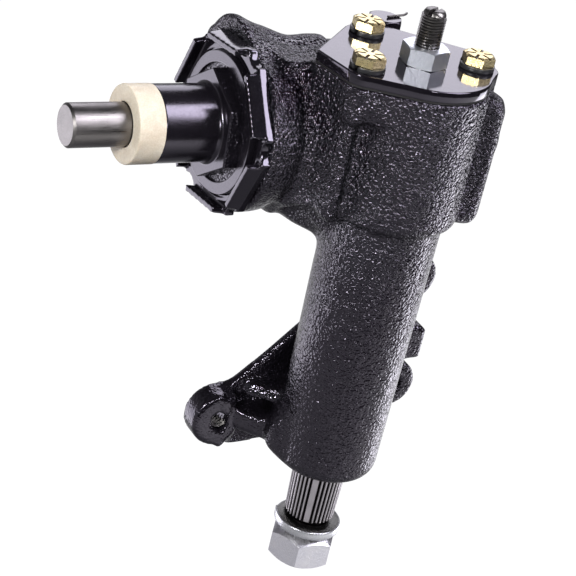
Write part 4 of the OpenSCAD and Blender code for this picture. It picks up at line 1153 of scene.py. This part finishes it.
class GEARBOX_OT_stage(bpy.types.Operator):
    """Makes the floor, the dark studio round it, the softboxes, the background and the camera"""
    bl_idname = "gearbox.stage"
    bl_label = "Stage"
    # Each softbox's direction from what it faces, its distance, its width and height, and its tint.
    softboxes = {
        "back": ((0.495, 0.737, 0.50), 1.25, (1.0, 0.62), LAMP_LAVENDER),
        "key": ((0.495, -0.50, 0.71), 1.2, (0.5, 1.0), LAMP_LAVENDER),
        "fill": ((-0.82, -0.42, 0.40), 1.3, (0.2, 0.26), LAMP_WHITE),
        "front": ((-0.12, -0.92, 0.38), 1.3, (0.2, 0.2), LAMP_WHITE),
        "side": ((0.83, 0.08, -0.44), 1.3, (0.5, 0.5), LAMP_LAVENDER),
        "low": ((-0.495, 0.737, -0.461), 1.2, (0.8, 0.8), LAMP_LAVENDER),
    }

    def execute(self, context):
        settings = context.scene.gearbox_stage
        scene = context.scene
        self.add_floor(settings.floor_z)
        self.add_dark_studio(settings.floor_z)
        centre = Vector((0, 0.02, 0.12))
        collar = Vector((COLLAR_X, WORM_Y, WORM_Z))
        for name, (way, distance, size, tint) in self.softboxes.items():
            target = collar if name == "low" else centre
            add_lamp(f"{name}_softbox", target + distance * Vector(way), target, size,
                     getattr(settings, f"{name}_power"), tint)
        self.add_world(scene)
        self.add_camera(scene, settings.lens)
        scene.view_settings.view_transform = "Standard"
        return {"FINISHED"}

    def add_floor(self, floor_z):
        """Lays a floor that the camera sees white and that the part mirrors brighter further away."""
        bm = bmesh.new()
        bmesh.ops.create_grid(bm, x_segments=1, y_segments=1, size=6.0,
                              matrix=Matrix.Translation((0, 0, floor_z)))
        floor = loose_object(bm, "floor")
        material, tree, glow, at = glowing("pale_floor", (1, 1, 1, 1))
        path = tree.nodes.new("ShaderNodeLightPath").outputs
        away = ramp_value(tree, radius_node(tree, at["X"], at["Y"]), 0.7, 1.7, 0.05, 1.0)
        rightward = ramp_value(tree, way_node(tree, at, 0.95, -0.30), -1.6, 2.2, 0.34, 1.0)
        sheen = math_node(tree, "MULTIPLY", away, rightward)
        sheen = math_node(tree, "MULTIPLY", path["Is Glossy Ray"], sheen)
        seen = math_node(tree, "MAXIMUM", path["Is Camera Ray"], path["Is Transmission Ray"])
        tree.links.new(math_node(tree, "MULTIPLY_ADD", seen, 0.95, sheen), glow.inputs["Strength"])
        pale = tree.nodes.new("ShaderNodeBsdfDiffuse")
        pale.inputs["Color"].default_value = (0.14, 0.14, 0.15, 1)
        both = tree.nodes.new("ShaderNodeAddShader")
        tree.links.new(pale.outputs[0], both.inputs[0])
        tree.links.new(glow.outputs[0], both.inputs[1])
        tree.links.new(both.outputs[0], tree.nodes["Material Output"].inputs["Surface"])
        floor.data.materials.append(material)

    def add_dark_studio(self, floor_z):
        """Hangs a dark dome that only the paint's mirror sees, brighter low down and at the back."""
        bm = bmesh.new()
        bmesh.ops.create_uvsphere(bm, u_segments=48, v_segments=24, radius=3.2)
        bmesh.ops.bisect_plane(bm, geom=bm.verts[:] + bm.edges[:] + bm.faces[:], plane_co=(0, 0, floor_z),
                               plane_no=(0, 0, -1), clear_outer=True)
        studio = loose_object(bm, "dark_studio")
        for ray in ("camera", "diffuse", "transmission", "volume_scatter", "shadow"):
            setattr(studio, f"visible_{ray}", False)
        material, tree, glow, at = glowing("dark_cloth", (0.95, 0.95, 1.0, 1))
        low_down = ramp_value(tree, at["Z"], 0.1, 1.9, 1.0, 0.0)
        wall = ramp_value(tree, way_node(tree, at, -0.55, 0.83), -1.2, 1.2, 0.0, 0.32)
        tree.links.new(math_node(tree, "MULTIPLY_ADD", low_down, wall, 0.015), glow.inputs["Strength"])
        tree.links.new(glow.outputs[0], tree.nodes["Material Output"].inputs["Surface"])
        studio.data.materials.append(material)

    def add_world(self, scene):
        """Makes a background that is white where it is seen and dimmer where it only lights."""
        world = bpy.data.worlds.new("white_room")
        world.use_nodes = True
        tree = world.node_tree
        path = tree.nodes.new("ShaderNodeLightPath").outputs
        seen = math_node(tree, "MAXIMUM", path["Is Camera Ray"], path["Is Glossy Ray"])
        seen = math_node(tree, "MAXIMUM", seen, path["Is Transmission Ray"])
        background = tree.nodes["Background"].inputs
        tree.links.new(math_node(tree, "MULTIPLY_ADD", seen, 0.55, 0.45), background["Strength"])
        background["Color"].default_value = (1, 1, 1, 1)
        scene.world = world

    def add_camera(self, scene, lens):
        """Sets up the camera in front of the part, to its left and above it."""
        data = bpy.data.cameras.new("camera")
        data.lens = lens
        data.sensor_width = 36.0
        camera = bpy.data.objects.new("camera", data)
        scene.collection.objects.link(camera)
        right = Vector((0.86673, -0.45648, 0.20103))
        down = Vector((-0.06212, -0.49868, -0.86456))
        ahead = Vector((0.4949, 0.73685, -0.46057))
        turn = Matrix((right, -down, -ahead)).transposed().to_4x4()
        camera.matrix_world = Matrix.Translation((-0.45196, -0.61234, 0.47866)) @ turn
        scene.camera = camera


class GEARBOX_PT_panel(bpy.types.Panel):
    """Lists the gearbox's pieces"""
    bl_label = "Steering Gearbox"
    bl_idname = "GEARBOX_PT_panel"
    bl_space_type = "VIEW_3D"
    bl_region_type = "UI"
    bl_category = "Gearbox"

    def draw(self, context):
        for operator in OPERATORS:
            self.layout.operator(operator.bl_idname)
        for name in SETTINGS:
            group = getattr(context.scene, name)
            for key in group.bl_rna.properties.keys():
                if key not in ("name", "rna_type"):
                    self.layout.prop(group, key)


OPERATORS = (GEARBOX_OT_casting, GEARBOX_OT_cover, GEARBOX_OT_cover_bolts, GEARBOX_OT_lash_screw,
             GEARBOX_OT_bearing_adjuster, GEARBOX_OT_filler_plug, GEARBOX_OT_pitman_fasteners,
             GEARBOX_OT_packed_finishes, GEARBOX_OT_stage)
SETTINGS = {"gearbox_casting": CastingSettings, "gearbox_paint": PaintSettings,
            "gearbox_fasteners": FastenerSettings, "gearbox_stage": StageSettings}


def register():
    for group in SETTINGS.values():
        bpy.utils.register_class(group)
    for name, group in SETTINGS.items():
        setattr(bpy.types.Scene, name, PointerProperty(type=group))
    for operator in OPERATORS:
        bpy.utils.register_class(operator)
    bpy.utils.register_class(GEARBOX_PT_panel)


def unregister():
    bpy.utils.unregister_class(GEARBOX_PT_panel)
    for operator in reversed(OPERATORS):
        bpy.utils.unregister_class(operator)
    for name in SETTINGS:
        delattr(bpy.types.Scene, name)
    for group in SETTINGS.values():
        bpy.utils.unregister_class(group)


def main():
    register()
    bpy.ops.gearbox.casting()
    bpy.ops.gearbox.cover()
    bpy.ops.gearbox.cover_bolts()
    bpy.ops.gearbox.lash_screw()
    bpy.ops.gearbox.bearing_adjuster()
    bpy.ops.gearbox.filler_plug()
    bpy.ops.gearbox.pitman_fasteners()
    bpy.ops.gearbox.packed_finishes()
    bpy.ops.gearbox.stage()


if __name__ == "__main__":
    main()
